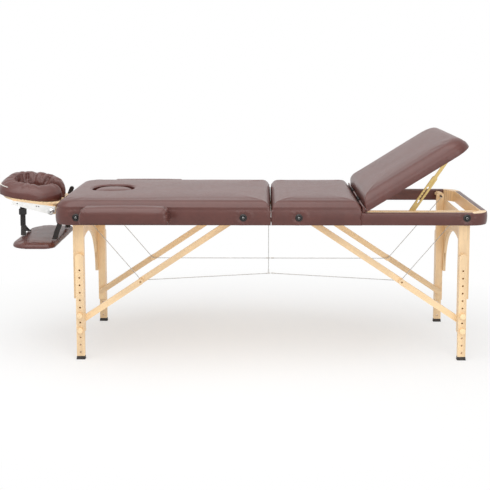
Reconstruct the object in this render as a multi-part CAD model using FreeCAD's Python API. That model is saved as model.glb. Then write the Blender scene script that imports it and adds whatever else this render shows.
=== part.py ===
import FreeCAD, Part
import math
import os

# Folding massage table with face cradle, arm shelf, armrests and lifting back.
# Millimetres, +Z up. X runs along the table from the fold line, Y across it.
# The head half lies at -X, the foot half at +X, and the near side is -Y.

V = FreeCAD.Vector

# Driving dimensions of the top
half_length = 925.0
table_width = 620.0
fold_gap = 3.0
rail_bottom = 604.0
rail_height = 52.0
rail_thickness = 22.0
end_rail_thickness = 25.0
corner_radius = 70.0
deck_thickness = 6.0
pad_thickness = 40.0
pad_crown = 12.0
pad_edge_inset = 4.0
pad_corner_small = 10.0
pad_roll_share = 0.8
pad_span_share = 0.3
pad_flat_share = 0.7
pad_roll_steps = 4
soft_clearance = 0.3
fit_clearance = 0.05
running_clearance = 0.3
layer_clearance = 0.5

# Face hole and its plug
face_hole_inset = 203.0
face_hole_length = 180.0
face_hole_width = 158.0
face_ledge = 12.0
plug_clearance = 1.0

# Legs, extensions and knob screws
leg_inset = 97.0
leg_width = 34.0
leg_pivot_drop = 20.0
leg_thickness = 20.0
leg_bottom = 118.0
knob_room = 22.0
extension_thickness = 18.0
extension_top = 468.0
hole_pitch = 33.0
hole_count = 12
first_hole = 32.0
knob_hole_index = 3
knob_hole_step = 2
screw_radius = 4.0
knob_radius = 13.0
knob_height = 16.0
foot_height = 15.0
foot_margin = 2.0

# Arched end panels between the legs
arch_thickness = 12.0
arch_top_drop = 20.0
arch_height = 350.0
arch_leg_width = 34.0
arch_crown = 107.0
brace_relief = 7.0

# Folding braces
brace_pivot_x = 118.0
brace_foot = 162.0
brace_width = 26.0
brace_thickness = 14.0
pivot_bolt_radius = 4.0
bush_radius = 7.0
cup_washer_radius = 18.0
cup_washer_height = 6.0
bolt_dome_radius = 9.0

# Centre hinges between the halves
hinge_leaf_length = 80.0
hinge_leaf_width = 20.0
hinge_leaf_thickness = 2.5
hinge_knuckle_radius = 4.0
hinge_pin_radius = 2.0
hinge_spread = 200.0
hinge_drop = 0.5
hinge_end_margin = 3.0
knuckle_count = 5

# Lifting back
back_end_margin = 19.0
back_gap = 6.0
back_length = 515.0
back_board_thickness = 12.0
back_tilt_deg = 32.0
back_corner_radius = 75.0
back_crown = 26.0
back_axis_lift = 26.0
back_leaf_length = 75.0
back_leaf_drop = 24.0
back_leaf_thickness = 1.2
back_leaf_margin = 15.0
back_knuckle_radius = 2.6
back_pin_radius = 1.3
back_knuckles = 3
batten_width = 22.0
batten_height = 28.0

# Ratchet strut of the back, on an inner stringer at the near side
stringer_thickness = 20.0
stringer_height = 20.0
stringer_drop = 14.0
stringer_gap = 6.0
strut_foot_reach = 228.0
strut_foot_drop = 24.0
strut_head_reach = 452.0
strut_head_drop = 9.0
channel_length = 192.0
channel_height = 22.0
channel_wall = 1.5
channel_inside = 8.0
channel_web_length = 34.0
strut_bar_length = 178.0
strut_bar_height = 14.0
strut_bar_thickness = 6.0
strut_pin_radius = 3.0
ratchet_pitch = 14.0
ratchet_count = 8
ear_thickness = 3.0
ear_radius = 8.0
channel_clearance = 1.5
slot_start = 50.0
slot_height = 7.0
ratchet_depth = 4.5
ratchet_slant = 4.0

# Bracing cables
cable_radius = 1.5
cable_rise = 32.0
cable_hanger_x = 10.0
cable_end_x = 2.0

# Armrests beside the head half
armrest_inset = 312.0
armrest_length = 366.0
armrest_width = 96.0
armrest_board = 20.0
armrest_pad = 40.0
armrest_crown = 5.0
armrest_lift = 26.0
armrest_gap = 2.0
armrest_corner = 16.0
armrest_dowel_radius = 8.0
armrest_dowel_spread = 110.0
armrest_dowel_reach = 40.0
dowel_clearance = 0.1

# Face cradle
cradle_dowel_radius = 10.0
cradle_dowel_spread = 120.0
cradle_dowel_reach = 70.0
cradle_bar_reach = 50.0
cradle_bar_width = 36.0
cradle_bar_height = 30.0
cradle_bar_length = 268.0
cradle_tilt_deg = 8.0
cradle_axle_radius = 5.0
cradle_cap_radius = 14.0
cradle_cap_height = 4.0
platform_length = 262.0
platform_width = 296.0
platform_thickness = 9.0
platform_lift = 24.0
arm_thickness = 13.0
arm_height = 26.0
platform_reach = 162.0
platform_corner = 110.0
arm_reach = 228.0
arm_tip_height = 18.0
cushion_reach = 184.0
cushion_length = 288.0
cushion_width = 290.0
cushion_thickness = 84.0
cushion_crown = 10.0
cushion_corner = 115.0
cushion_hole_length = 130.0
cushion_hole_width = 104.0
cushion_slot = 44.0
cushion_flare = 16.0
lever_length = 68.0
lever_width = 20.0
lever_thickness = 8.0
lever_lean_deg = 24.0
cam_radius = 8.0
cam_width = 16.0
tongue_width = 5.0
lever_pin_radius = 2.5

# Hanging arm shelf
shelf_reach = 126.0
shelf_length = 206.0
shelf_width = 430.0
shelf_thickness = 25.0
shelf_top = 500.0
shelf_corner = 88.0
shelf_crown = 3.0
strap_width = 24.0
rear_strap_reach = 17.0
rear_strap_foot_reach = 43.0
strap_join_drop = 55.0
strap_split = 533.0
strap_spread = 45.0
buckle_z = 600.0
buckle_height = 28.0
buckle_wall = 5.0
strap_thickness = 1.6

# Places worked out from the driving dimensions
half_width = table_width / 2
inner_end = fold_gap / 2
rail_top = rail_bottom + rail_height
rail_inner = half_width - rail_thickness
deck_top = rail_top + deck_thickness
pad_top = deck_top + pad_thickness
rail_end = half_length - corner_radius
end_rail_y = half_width - corner_radius
leg_pivot_z = rail_top - leg_pivot_drop
hinge_z = rail_bottom - hinge_drop

# Places along the table, counted from the ends of the halves
leg_x = half_length - leg_inset
face_hole_x = half_length - face_hole_inset
back_joint_x = half_length - back_end_margin - back_length - back_gap / 2
strut_foot_x = back_joint_x + strut_foot_reach
armrest_x = half_length - armrest_inset
cradle_bar_x = half_length + cradle_bar_reach
platform_x = half_length + platform_reach
arm_outer_x = half_length + arm_reach
cushion_x = half_length + cushion_reach
shelf_x = half_length + shelf_reach
rear_strap_x = half_length + rear_strap_reach
rear_strap_foot_x = half_length + rear_strap_foot_reach

extension_outer = rail_inner - knob_room
extension_inner = extension_outer - extension_thickness
leg_outer = extension_inner - layer_clearance
leg_inner = leg_outer - leg_thickness
lower_brace_outer = leg_inner - layer_clearance
lower_brace_inner = lower_brace_outer - brace_thickness
upper_brace_outer = lower_brace_inner - layer_clearance
upper_brace_inner = upper_brace_outer - brace_thickness
stringer_outer = upper_brace_inner - stringer_gap
stringer_inner = stringer_outer - stringer_thickness
cable_y = (upper_brace_inner + stringer_outer) / 2
back_leaf_y = stringer_inner - back_leaf_margin - back_leaf_length / 2

# A brace folds flat when its two lengths add up to the open diagonal and differ by the folded gap.
brace_run = leg_x - brace_pivot_x
brace_rise = leg_pivot_z - brace_foot
brace_diagonal = math.hypot(brace_run, brace_rise)
brace_angle = math.atan2(brace_rise, brace_run)
lower_brace_length = (brace_diagonal - brace_run + brace_rise) / 2
upper_brace_length = (brace_diagonal + brace_run - brace_rise) / 2
brace_joint = V(leg_x - lower_brace_length * math.cos(brace_angle), 0,
                brace_foot + lower_brace_length * math.sin(brace_angle))


def box(x0, x1, y0, y1, z0, z1):
    """A block between two values on each axis."""
    corner = V(min(x0, x1), min(y0, y1), min(z0, z1))
    return Part.makeBox(abs(x1 - x0), abs(y1 - y0), abs(z1 - z0), corner)


def rod(start, end, radius):
    """A round rod from one point to another."""
    axis = end.sub(start)
    return Part.makeCylinder(radius, axis.Length, start, axis)


def rod_y(x, z, y0, y1, radius):
    """A round rod along Y."""
    return rod(V(x, min(y0, y1), z), V(x, max(y0, y1), z), radius)


def rod_x(x0, x1, y, z, radius):
    """A round rod along X."""
    return rod(V(min(x0, x1), y, z), V(max(x0, x1), y, z), radius)


def ring_y(x, z, y0, y1, radius, bore):
    """A round bush along Y."""
    return rod_y(x, z, y0, y1, radius).cut(rod_y(x, z, y0, y1, bore))


def outline(points):
    """A closed wire: a point draws a line to it, a pair (middle, end) draws an arc."""
    edges = []
    last = points[0]
    for item in points[1:] + [points[0]]:
        if isinstance(item, tuple):
            edges.append(Part.Arc(last, item[0], item[1]).toShape())
            last = item[1]
        elif last.distanceToPoint(item) > 1e-6:
            edges.append(Part.LineSegment(last, item).toShape())
            last = item
    return Part.Wire(edges)


def prism(points, direction):
    """A solid swept from a flat outline."""
    return Part.Face(outline(points)).extrude(direction)


def mirror_x(shape):
    """The same shape on the other half of the table."""
    return shape.mirror(V(0, 0, 0), V(1, 0, 0))


def mirror_y(shape):
    """The same shape on the other long side."""
    return shape.mirror(V(0, 0, 0), V(0, 1, 0))


def both_sides(shape):
    """A pair, one on each long side."""
    return Part.makeCompound([shape, mirror_y(shape)])


def corner_arc(centre_x, centre_y, z, radius, from_deg):
    """The middle and end of a quarter arc that starts at an angle and runs anticlockwise."""
    spots = []
    for angle in (from_deg + 45.0, from_deg + 90.0):
        turn = math.radians(angle)
        spots.append(V(centre_x + radius * math.cos(turn), centre_y + radius * math.sin(turn), z))
    return tuple(spots)


def rounded_plan(x0, x1, y0, y1, z, near_radius, far_radius):
    """A rounded rectangle seen from above, with one radius at x0 and another at x1."""
    a = near_radius
    b = far_radius
    return outline([V(x0 + a, y0, z), V(x1 - b, y0, z),
                    corner_arc(x1 - b, y0 + b, z, b, -90.0), V(x1, y1 - b, z),
                    corner_arc(x1 - b, y1 - b, z, b, 0.0), V(x0 + a, y1, z),
                    corner_arc(x0 + a, y1 - a, z, a, 90.0), V(x0, y0 + a, z),
                    corner_arc(x0 + a, y0 + a, z, a, 180.0)])


def cushion_body(x0, x1, y0, y1, z0, thickness, crown, near_radius, far_radius):
    """A padded slab: drawn in at its foot, full at its waist, rolled over into a crown."""
    half_span = min(x1 - x0, y1 - y0) / 2
    roll = min(pad_roll_share * thickness, pad_span_share * half_span)
    waist = (1 - pad_roll_share) * thickness
    levels = [(0.0, pad_edge_inset), (0.5 * waist, 0.25 * pad_edge_inset), (waist, 0.0)]
    for step in range(1, pad_roll_steps + 1):
        turn = 0.5 * math.pi * step / (pad_roll_steps + 0.5)
        levels.append((waist + (thickness - waist) * math.sin(turn), roll * (1 - math.cos(turn))))
    flat = pad_flat_share * half_span
    levels += [(thickness + 0.6 * crown, 0.5 * (roll + flat)), (thickness + crown, flat)]
    wires = []
    for height, inset in levels:
        widest = 0.96 * (half_span - inset)
        a = min(max(near_radius - 0.5 * inset, 0.5 * near_radius), widest)
        b = min(max(far_radius - 0.5 * inset, 0.5 * far_radius), widest)
        wires.append(rounded_plan(x0 + inset, x1 - inset, y0 + inset, y1 - inset,
                                  z0 + height, a, b))
    return Part.makeLoft(wires, True, True)


def slab(plan, height):
    """A plate of even thickness on a flat outline."""
    return Part.Face(plan).extrude(V(0, 0, height))


def oval_column(centre_x, length, width, z0, z1):
    """An upright column with a long rounded plan."""
    radius = 0.48 * min(length, width)
    plan = rounded_plan(centre_x - length / 2, centre_x + length / 2, -width / 2, width / 2,
                        z0, radius, radius)
    return slab(plan, z1 - z0)


def side_rail(bolt_bores, round_bores):
    """One long rail on the far side of the foot half, bored for bolts and dowels."""
    rail = box(inner_end, rail_end, rail_inner, half_width, rail_bottom, rail_top)
    for x, z, radius in bolt_bores + round_bores:
        rail = rail.cut(rod_y(x, z, rail_inner - 1, half_width + 1, radius))
    return rail


def pivot_bores():
    """The bolt holes that every side rail has: leg pivot and brace pivot."""
    radius = pivot_bolt_radius + fit_clearance
    return [(leg_x, leg_pivot_z, radius), (brace_pivot_x, leg_pivot_z, radius)]


def corner_block():
    """The rounded block that joins a side rail to the end rail, on the far side."""
    inner_x = half_length - end_rail_thickness
    bow = corner_arc(rail_end, end_rail_y, rail_bottom, corner_radius, 0.0)
    points = [V(half_length, end_rail_y, rail_bottom), bow,
              V(rail_end, rail_inner, rail_bottom), V(inner_x, end_rail_y, rail_bottom)]
    return prism(points, V(0, 0, rail_height))


def end_rail():
    """The short rail across the outer end."""
    return box(half_length - end_rail_thickness, half_length, -end_rail_y, end_rail_y,
               rail_bottom, rail_top)


def hinge_places():
    """The middle of each centre hinge along Y."""
    return [-hinge_spread, hinge_spread]


def centre_rail():
    """The rail along the fold, housed for the hinge leaves and knuckles."""
    rail = box(inner_end, inner_end + end_rail_thickness, -rail_inner, rail_inner,
               rail_bottom, rail_top)
    for y in hinge_places():
        reach = hinge_leaf_length / 2 + hinge_end_margin
        rail = rail.cut(box(0, hinge_leaf_width + running_clearance, y - reach, y + reach,
                            rail_bottom - 1, rail_bottom + hinge_leaf_thickness))
        rail = rail.cut(rod_y(0, hinge_z, y - reach, y + reach,
                              hinge_knuckle_radius + layer_clearance))
    return rail


def hinge_leaf(y, first):
    """A centre-hinge leaf of the foot half, with every second knuckle."""
    leaf = box(0, hinge_leaf_width, y - hinge_leaf_length / 2, y + hinge_leaf_length / 2,
               rail_bottom, rail_bottom + hinge_leaf_thickness)
    sweep = rod_y(0, hinge_z, y - hinge_leaf_length, y + hinge_leaf_length,
                  hinge_knuckle_radius + running_clearance)
    leaf = leaf.cut(sweep)
    step = hinge_leaf_length / knuckle_count
    for index in range(first, knuckle_count, 2):
        start = y - hinge_leaf_length / 2 + index * step + running_clearance / 2
        end = start + step - running_clearance
        leaf = leaf.fuse(rod_y(0, hinge_z, start, end, hinge_knuckle_radius))
        leaf = leaf.fuse(box(0, hinge_knuckle_radius + 1, start, end, hinge_z,
                             rail_bottom + hinge_leaf_thickness))
    bore = rod_y(0, hinge_z, y - hinge_leaf_length, y + hinge_leaf_length,
                 hinge_pin_radius + fit_clearance)
    return leaf.cut(bore).removeSplitter()


def hinge_pin(y):
    """The pin of a centre hinge, headed at both ends."""
    reach = hinge_leaf_length / 2 + running_clearance
    pin = rod_y(0, hinge_z, y - reach, y + reach, hinge_pin_radius)
    for start in (y - reach - 1.5, y + reach):
        pin = pin.fuse(rod_y(0, hinge_z, start, start + 1.5, hinge_pin_radius + 1))
    return pin


def pivot_hardware(x, spacer_inner, bolt_inner):
    """A cup washer and domed bolt outside the far rail, with its shank and the spacer bush inside."""
    face = half_width
    shank = rod_y(x, leg_pivot_z, bolt_inner, face, pivot_bolt_radius)
    cup = Part.makeCone(cup_washer_radius, bolt_dome_radius + 2, cup_washer_height,
                        V(x, face, leg_pivot_z), V(0, 1, 0))
    dish = Part.makeCone(bolt_dome_radius - 2, bolt_dome_radius + 1, cup_washer_height / 2,
                         V(x, face + cup_washer_height / 2, leg_pivot_z), V(0, 1, 0))
    head = Part.makeSphere(bolt_dome_radius - 3, V(x, face + cup_washer_height / 2, leg_pivot_z))
    reach = cup_washer_radius
    upper = box(x - reach, x + reach, face + cup_washer_height / 2, face + reach,
                leg_pivot_z - reach, leg_pivot_z + reach)
    bolt = cup.cut(dish).fuse(head.common(upper)).fuse(shank)
    bush = ring_y(x, leg_pivot_z, spacer_inner, rail_inner, bush_radius,
                  pivot_bolt_radius + fit_clearance)
    return [bolt.removeSplitter(), bush]


def half_hardware():
    """All pivot bolts and bushes of one half."""
    solids = []
    stations = [(leg_x, leg_outer + layer_clearance, cable_y + cable_radius + soft_clearance),
                (brace_pivot_x, upper_brace_outer + layer_clearance, upper_brace_inner)]
    for x, spacer_inner, bolt_inner in stations:
        solids += pivot_hardware(x, spacer_inner, bolt_inner)
    return Part.makeCompound(solids + [mirror_y(solid) for solid in solids])


def deck_plate(x1, far_radius):
    """The plywood deck of one half."""
    plan = rounded_plan(inner_end, x1, -half_width, half_width, rail_top, 1.0, far_radius)
    return slab(plan, deck_thickness)


def knob_heights():
    """The heights of the two knob screws of a leg."""
    lower = first_hole + knob_hole_index * hole_pitch
    return [lower, lower + knob_hole_step * hole_pitch]


def upright(x, z0, z1, y0, y1):
    """A wooden leg bar with a round top centred on its upper pivot height."""
    r = leg_width / 2
    points = [V(x - r, y0, z0), V(x + r, y0, z0), V(x + r, y0, z1),
              (V(x, y0, z1 + r), V(x - r, y0, z1))]
    return prism(points, V(0, y1 - y0, 0))


def upper_leg():
    """An upper leg on the far side, bored for its pivots and knob screws."""
    leg = upright(leg_x, leg_bottom, leg_pivot_z, leg_inner, leg_outer)
    bores = [(leg_pivot_z, pivot_bolt_radius), (brace_foot, pivot_bolt_radius)]
    bores += [(height, screw_radius) for height in knob_heights()]
    for height, radius in bores:
        leg = leg.cut(rod_y(leg_x, height, leg_inner - 1, leg_outer + 1, radius + fit_clearance))
    return leg


def brace_foot_pin():
    """The pin that carries the lower brace on the upper leg, flush at both faces."""
    return rod_y(leg_x, brace_foot, lower_brace_inner + running_clearance,
                 leg_outer - running_clearance, pivot_bolt_radius)


def leg_extension():
    """A drilled leg extension on the far side, with rounded top."""
    r = leg_width / 2
    bar = upright(leg_x, foot_height, extension_top - r, extension_inner, extension_outer)
    for index in range(hole_count):
        height = first_hole + index * hole_pitch
        bar = bar.cut(rod_y(leg_x, height, extension_inner - 1, extension_outer + 1,
                            screw_radius + running_clearance))
    return bar


def foot_cap():
    """The rubber foot under an extension, spread a little at the floor."""
    r = leg_width / 2
    outer = extension_outer + foot_margin
    lower = outline([V(leg_x - r - foot_margin, extension_inner, 0),
                     V(leg_x + r + foot_margin, extension_inner, 0),
                     V(leg_x + r + foot_margin, outer, 0),
                     V(leg_x - r - foot_margin, outer, 0)])
    upper = outline([V(leg_x - r, extension_inner, foot_height),
                     V(leg_x + r, extension_inner, foot_height),
                     V(leg_x + r, extension_outer, foot_height),
                     V(leg_x - r, extension_outer, foot_height)])
    return Part.makeLoft([lower, upper], True, True)


def knob_screw(height):
    """A turned wooden knob outside an extension, with its screw through both leg bars."""
    start = extension_outer + layer_clearance
    waist = 0.62 * knob_radius
    top = start + knob_height
    profile = [V(leg_x, start, height), V(leg_x + waist, start, height),
               V(leg_x + waist, start + 0.25 * knob_height, height),
               (V(leg_x + knob_radius, start + 0.6 * knob_height, height),
                V(leg_x + waist, top, height)),
               V(leg_x, top, height)]
    knob = Part.Face(outline(profile)).revolve(V(leg_x, start, height), V(0, 1, 0), 360)
    screw = rod_y(leg_x, height, leg_inner, start + 1, screw_radius)
    return knob.fuse(screw).removeSplitter()


def arch_panel():
    """The arched plywood panel on the outer faces of two legs, grooved where the folding brace swings."""
    x = leg_x + leg_width / 2
    top = leg_pivot_z - arch_top_drop
    foot = top - arch_height
    inside = leg_outer - arch_leg_width
    crown = top - arch_crown
    shoulder = foot + 0.72 * (crown - foot)
    points = [V(x, -leg_outer, foot), V(x, -inside, foot),
              (V(x, -0.93 * inside, foot + 0.38 * (crown - foot)), V(x, -0.72 * inside, shoulder)),
              (V(x, 0, crown), V(x, 0.72 * inside, shoulder)),
              (V(x, 0.93 * inside, foot + 0.38 * (crown - foot)), V(x, inside, foot)),
              V(x, leg_outer, foot), V(x, leg_outer, top), V(x, -leg_outer, top)]
    panel = prism(points, V(arch_thickness, 0, 0))
    folded_reach = leg_x - brace_pivot_x - upper_brace_length
    relief_top = leg_pivot_z - folded_reach + brace_width
    relief = box(x - 1, x + brace_relief, upper_brace_inner - layer_clearance,
                 upper_brace_outer + layer_clearance, foot - 1, relief_top)
    return panel.cut(both_sides(relief))


def strut_plate(start, end, width, y0, y1):
    """A flat bar between two pivots in the XZ plane, with round ends."""
    run = end.sub(start)
    run.normalize()
    side = V(-run.z, 0, run.x)
    r = width / 2
    a = V(start.x, y0, start.z)
    b = V(end.x, y0, end.z)
    points = [a.add(side * r), (a.sub(run * r), a.sub(side * r)), b.sub(side * r),
              (b.add(run * r), b.add(side * r))]
    return prism(points, V(0, y1 - y0, 0))


def lower_brace():
    """The short brace strut from the leg to the middle joint, on the far side."""
    start = V(leg_x, 0, brace_foot)
    bar = strut_plate(start, brace_joint, brace_width, lower_brace_inner, lower_brace_outer)
    for spot in (start, brace_joint):
        bar = bar.cut(rod_y(spot.x, spot.z, lower_brace_inner - 1, lower_brace_outer + 1,
                            pivot_bolt_radius + fit_clearance))
    return bar


def upper_brace():
    """The long brace strut from the rail to the middle joint, with the joint's rivet head."""
    start = V(brace_pivot_x, 0, leg_pivot_z)
    bar = strut_plate(start, brace_joint, brace_width, upper_brace_inner, upper_brace_outer)
    bar = bar.cut(rod_y(start.x, start.z, upper_brace_inner - 1, upper_brace_outer + 1,
                        pivot_bolt_radius + fit_clearance))
    return bar.fuse(rod_y(brace_joint.x, brace_joint.z, cable_y + cable_radius + soft_clearance,
                          upper_brace_inner, bush_radius))


# Lifting back, drawn flat and then turned up about its axis
seat_end = back_joint_x - back_gap / 2
back_start = back_joint_x + back_gap / 2
back_end = back_start + back_length
back_axis = V(back_joint_x, 0, deck_top + back_axis_lift)
board_bottom = rail_top + soft_clearance
board_top = board_bottom + back_board_thickness
strut_foot = V(strut_foot_x, 0, rail_top - strut_foot_drop)
strut_head_flat = V(back_joint_x + strut_head_reach, 0, board_bottom - strut_head_drop)
channel_outer = stringer_inner - channel_clearance
channel_inner = channel_outer - channel_inside - 2 * channel_wall
strut_middle = (channel_outer + channel_inner) / 2


def turned(shape, centre, degrees):
    """A copy turned about a line along Y. Positive angles take +Z towards +X."""
    copy = shape.copy()
    copy.rotate(centre, V(0, 1, 0), degrees)
    return copy


def raised(shape):
    """A piece of the back, turned up to its rest angle."""
    return turned(shape, back_axis, -back_tilt_deg)


def raised_point(point):
    """A point of the back at its rest angle."""
    return FreeCAD.Rotation(V(0, 1, 0), -back_tilt_deg).multVec(point.sub(back_axis)).add(back_axis)


strut_head = raised_point(strut_head_flat)
strut_run = strut_head.sub(strut_foot)
strut_angle = math.degrees(math.atan2(strut_run.z, strut_run.x))


def back_board():
    """The plywood board of the back."""
    plan = rounded_plan(back_start, back_end, -half_width, half_width, board_bottom,
                        2.0, back_corner_radius)
    return raised(slab(plan, back_board_thickness))


def back_pad():
    """The cushion of the back."""
    pad = cushion_body(back_start + soft_clearance, back_end, -half_width, half_width, board_top,
                       pad_top - board_top, back_crown, pad_corner_small, back_corner_radius)
    return raised(pad)


def back_hinge_knuckles(y, first):
    """The knuckles of one back hinge that belong to one leaf, as spans along Y."""
    step = back_leaf_length / back_knuckles
    start = y - back_leaf_length / 2
    return [(start + i * step + running_clearance / 2, start + (i + 1) * step - running_clearance / 2)
            for i in range(first, back_knuckles, 2)]


def back_leaf(face_x, inward, foot_z, y, first):
    """A hinge leaf that stands in the gap between seat and back, with its knuckles."""
    shoulder = back_axis.z - back_knuckle_radius - layer_clearance
    other = face_x + inward * back_leaf_thickness
    leaf = box(face_x, other, y - back_leaf_length / 2, y + back_leaf_length / 2, foot_z, shoulder)
    for start, end in back_hinge_knuckles(y, first):
        leaf = leaf.fuse(box(face_x, other, start, end, foot_z, back_axis.z))
        leaf = leaf.fuse(rod_y(back_axis.x, back_axis.z, start, end, back_knuckle_radius))
    return leaf


def seat_hinge_leaf(y):
    """The leaf on the end of the seat, bored for the pin."""
    leaf = back_leaf(seat_end, 1, rail_top - back_leaf_drop, y, 0)
    bore = rod_y(back_axis.x, back_axis.z, y - back_leaf_length, y + back_leaf_length,
                 back_pin_radius + fit_clearance)
    return leaf.cut(bore).removeSplitter()


def back_hinge_leaf(y):
    """The leaf on the end of the back, with the pin fast in its knuckle."""
    leaf = back_leaf(back_start, -1, board_bottom, y, 1)
    pin = rod_y(back_axis.x, back_axis.z, y - back_leaf_length / 2, y + back_leaf_length / 2,
                back_pin_radius)
    return leaf.fuse(pin).removeSplitter()


def back_hinge_places():
    """The middle of each back hinge along Y."""
    return [-back_leaf_y, back_leaf_y]


def stringer():
    """The inner bearer on the far side that carries a strut, from the fold to the end rail."""
    bearer = box(inner_end + end_rail_thickness, half_length - end_rail_thickness,
                 stringer_inner, stringer_outer, rail_top - stringer_drop - stringer_height,
                 rail_top - stringer_drop)
    return bearer.cut(rod_y(strut_foot.x, strut_foot.z, stringer_inner - 1, stringer_outer + 1,
                            strut_pin_radius + fit_clearance))


def seat_batten():
    """The batten under the end of the seat, between the two bearers."""
    return box(seat_end - batten_width, seat_end, -stringer_inner, stringer_inner,
               rail_top - batten_height, rail_top)


def strut_foot_pin():
    """The headed pin that carries a strut channel on its bearer, on the far side."""
    inner = channel_inner - running_clearance
    pin = rod_y(strut_foot.x, strut_foot.z, inner, stringer_outer, strut_pin_radius)
    head = rod_y(strut_foot.x, strut_foot.z, inner - 2.5, inner, 2 * strut_pin_radius)
    collar = ring_y(strut_foot.x, strut_foot.z, channel_outer + running_clearance, stringer_inner,
                    2 * strut_pin_radius, strut_pin_radius)
    return pin.fuse(head).fuse(collar).removeSplitter()


def ratchet_slot():
    """The toothed slot of a strut channel, cut across both plates, drawn along +X from its pivot."""
    length = (ratchet_count + 1) * ratchet_pitch
    low = -slot_height / 2
    points = [V(slot_start, 0, low), V(slot_start + length, 0, low),
              V(slot_start + length, 0, -low)]
    for index in range(ratchet_count, 0, -1):
        x = slot_start + index * ratchet_pitch
        points += [V(x, 0, -low), V(x - ratchet_slant, 0, -low + ratchet_depth),
                   V(x - 2 * ratchet_slant, 0, -low + ratchet_depth),
                   V(x - ratchet_slant, 0, -low)]
    points.append(V(slot_start, 0, -low))
    cutter = prism(points, V(0, channel_outer - channel_inner + 2, 0))
    cutter.translate(V(0, channel_inner - 1, 0))
    return cutter


def strut_channel():
    """A folded steel channel with a toothed slot, standing on its pivot at the strut's angle."""
    far_end = V(channel_length - channel_height / 2, 0, 0)
    plates = []
    for y in (channel_inner, channel_outer - channel_wall):
        plates.append(strut_plate(V(0, 0, 0), far_end, channel_height, y, y + channel_wall))
    web = box(0, channel_web_length, channel_inner, channel_outer,
              -channel_height / 2, -channel_height / 2 + channel_wall)
    body = plates[0].fuse(plates[1]).fuse(web).cut(ratchet_slot())
    body = body.cut(rod_y(0, 0, channel_inner - 1, channel_outer + 1,
                          strut_pin_radius + fit_clearance))
    body = turned(body, V(0, 0, 0), -strut_angle)
    body.translate(strut_foot)
    return body


def strut_bar():
    """The steel bar that slides in a channel, hung from the back."""
    y0 = strut_middle - strut_bar_thickness / 2
    foot = V(-strut_bar_length + strut_bar_height / 2, 0, 0)
    body = strut_plate(V(0, 0, 0), foot, strut_bar_height, y0, y0 + strut_bar_thickness)
    body = body.cut(rod_y(0, 0, y0 - 1, y0 + strut_bar_thickness + 1,
                          strut_pin_radius + fit_clearance))
    body = turned(body, V(0, 0, 0), -strut_angle)
    body.translate(strut_head)
    return body


def strut_head_bracket():
    """The bracket under the back board that carries a strut bar on a pin, on the far side."""
    half_gap = strut_bar_thickness / 2 + layer_clearance
    spot = strut_head_flat
    ears = []
    for y in (strut_middle - half_gap - ear_thickness, strut_middle + half_gap):
        ear = box(spot.x - ear_radius, spot.x + ear_radius, y, y + ear_thickness, spot.z, board_bottom)
        ears.append(ear.fuse(rod_y(spot.x, spot.z, y, y + ear_thickness, ear_radius)))
    reach = half_gap + ear_thickness
    pin = rod_y(spot.x, spot.z, strut_middle - reach, strut_middle + reach, strut_pin_radius)
    return raised(ears[0].fuse(ears[1]).fuse(pin).removeSplitter())


def cable_run(points, y):
    """A steel cable through points of a plane of constant Y, with round corners."""
    spots = [V(x, y, z) for x, z in points]
    cable = rod(spots[0], spots[1], cable_radius)
    for a, b in zip(spots[1:], spots[2:]):
        cable = cable.fuse(Part.makeSphere(cable_radius, a)).fuse(rod(a, b, cable_radius))
    return cable


def cable_route(rise):
    """Points of a cable in +X: leg pivot, brace joint, then the fold line."""
    return [(leg_x, leg_pivot_z), (brace_joint.x, brace_joint.z),
            (cable_end_x, brace_joint.z + rise)]


def foot_half_cables():
    """The near cable is drawn up at the fold line, the far one runs level."""
    return Part.makeCompound([cable_run(cable_route(cable_rise), -cable_y),
                              cable_run(cable_route(0.0), cable_y)])


def head_half_cables():
    """The same pair on the head half, with the hanger that draws the near cable up."""
    near = mirror_x(cable_run(cable_route(cable_rise), -cable_y))
    far = mirror_x(cable_run(cable_route(0.0), cable_y))
    slope = cable_rise / (brace_joint.x - cable_end_x)
    foot_z = brace_joint.z + cable_rise - slope * (cable_hanger_x - cable_end_x)
    hanger = rod(V(-cable_hanger_x, -cable_y, foot_z),
                 V(-cable_hanger_x, -cable_y, rail_bottom - soft_clearance), cable_radius)
    return Part.makeCompound([near.fuse(hanger), far])


armrest_bottom = rail_bottom + armrest_lift
armrest_inner = half_width + armrest_gap
armrest_outer = armrest_inner + armrest_width
armrest_dowel_z = armrest_bottom + armrest_board / 2


def armrest_dowel_places():
    """The middle of each armrest dowel along X, on the head half."""
    return [-armrest_x - armrest_dowel_spread, -armrest_x + armrest_dowel_spread]


def armrest_base():
    """The wooden board of the far armrest with its two dowels."""
    plan = rounded_plan(-armrest_x - armrest_length / 2, -armrest_x + armrest_length / 2,
                        armrest_inner, armrest_outer, armrest_bottom,
                        armrest_corner, armrest_corner)
    base = slab(plan, armrest_board)
    for x in armrest_dowel_places():
        base = base.fuse(rod_y(x, armrest_dowel_z, half_width - armrest_dowel_reach,
                               armrest_inner + armrest_corner, armrest_dowel_radius))
    return base.removeSplitter()


def armrest_cushion():
    """The padded top of the far armrest."""
    return cushion_body(-armrest_x - armrest_length / 2, -armrest_x + armrest_length / 2,
                        armrest_inner, armrest_outer, armrest_bottom + armrest_board,
                        armrest_pad, armrest_crown, armrest_corner, armrest_corner)


# Face cradle, drawn level and then turned up about its axle
cradle_axle = V(-cradle_bar_x, 0, rail_bottom + rail_height / 2)
platform_bottom = cradle_axle.z + platform_lift
platform_top = platform_bottom + platform_thickness
arm_inner = cradle_bar_length / 2 + layer_clearance
arm_outer = arm_inner + arm_thickness


def lifted(shape):
    """A piece of the cradle's head, turned up to its rest angle."""
    return turned(shape, cradle_axle, cradle_tilt_deg)


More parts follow.
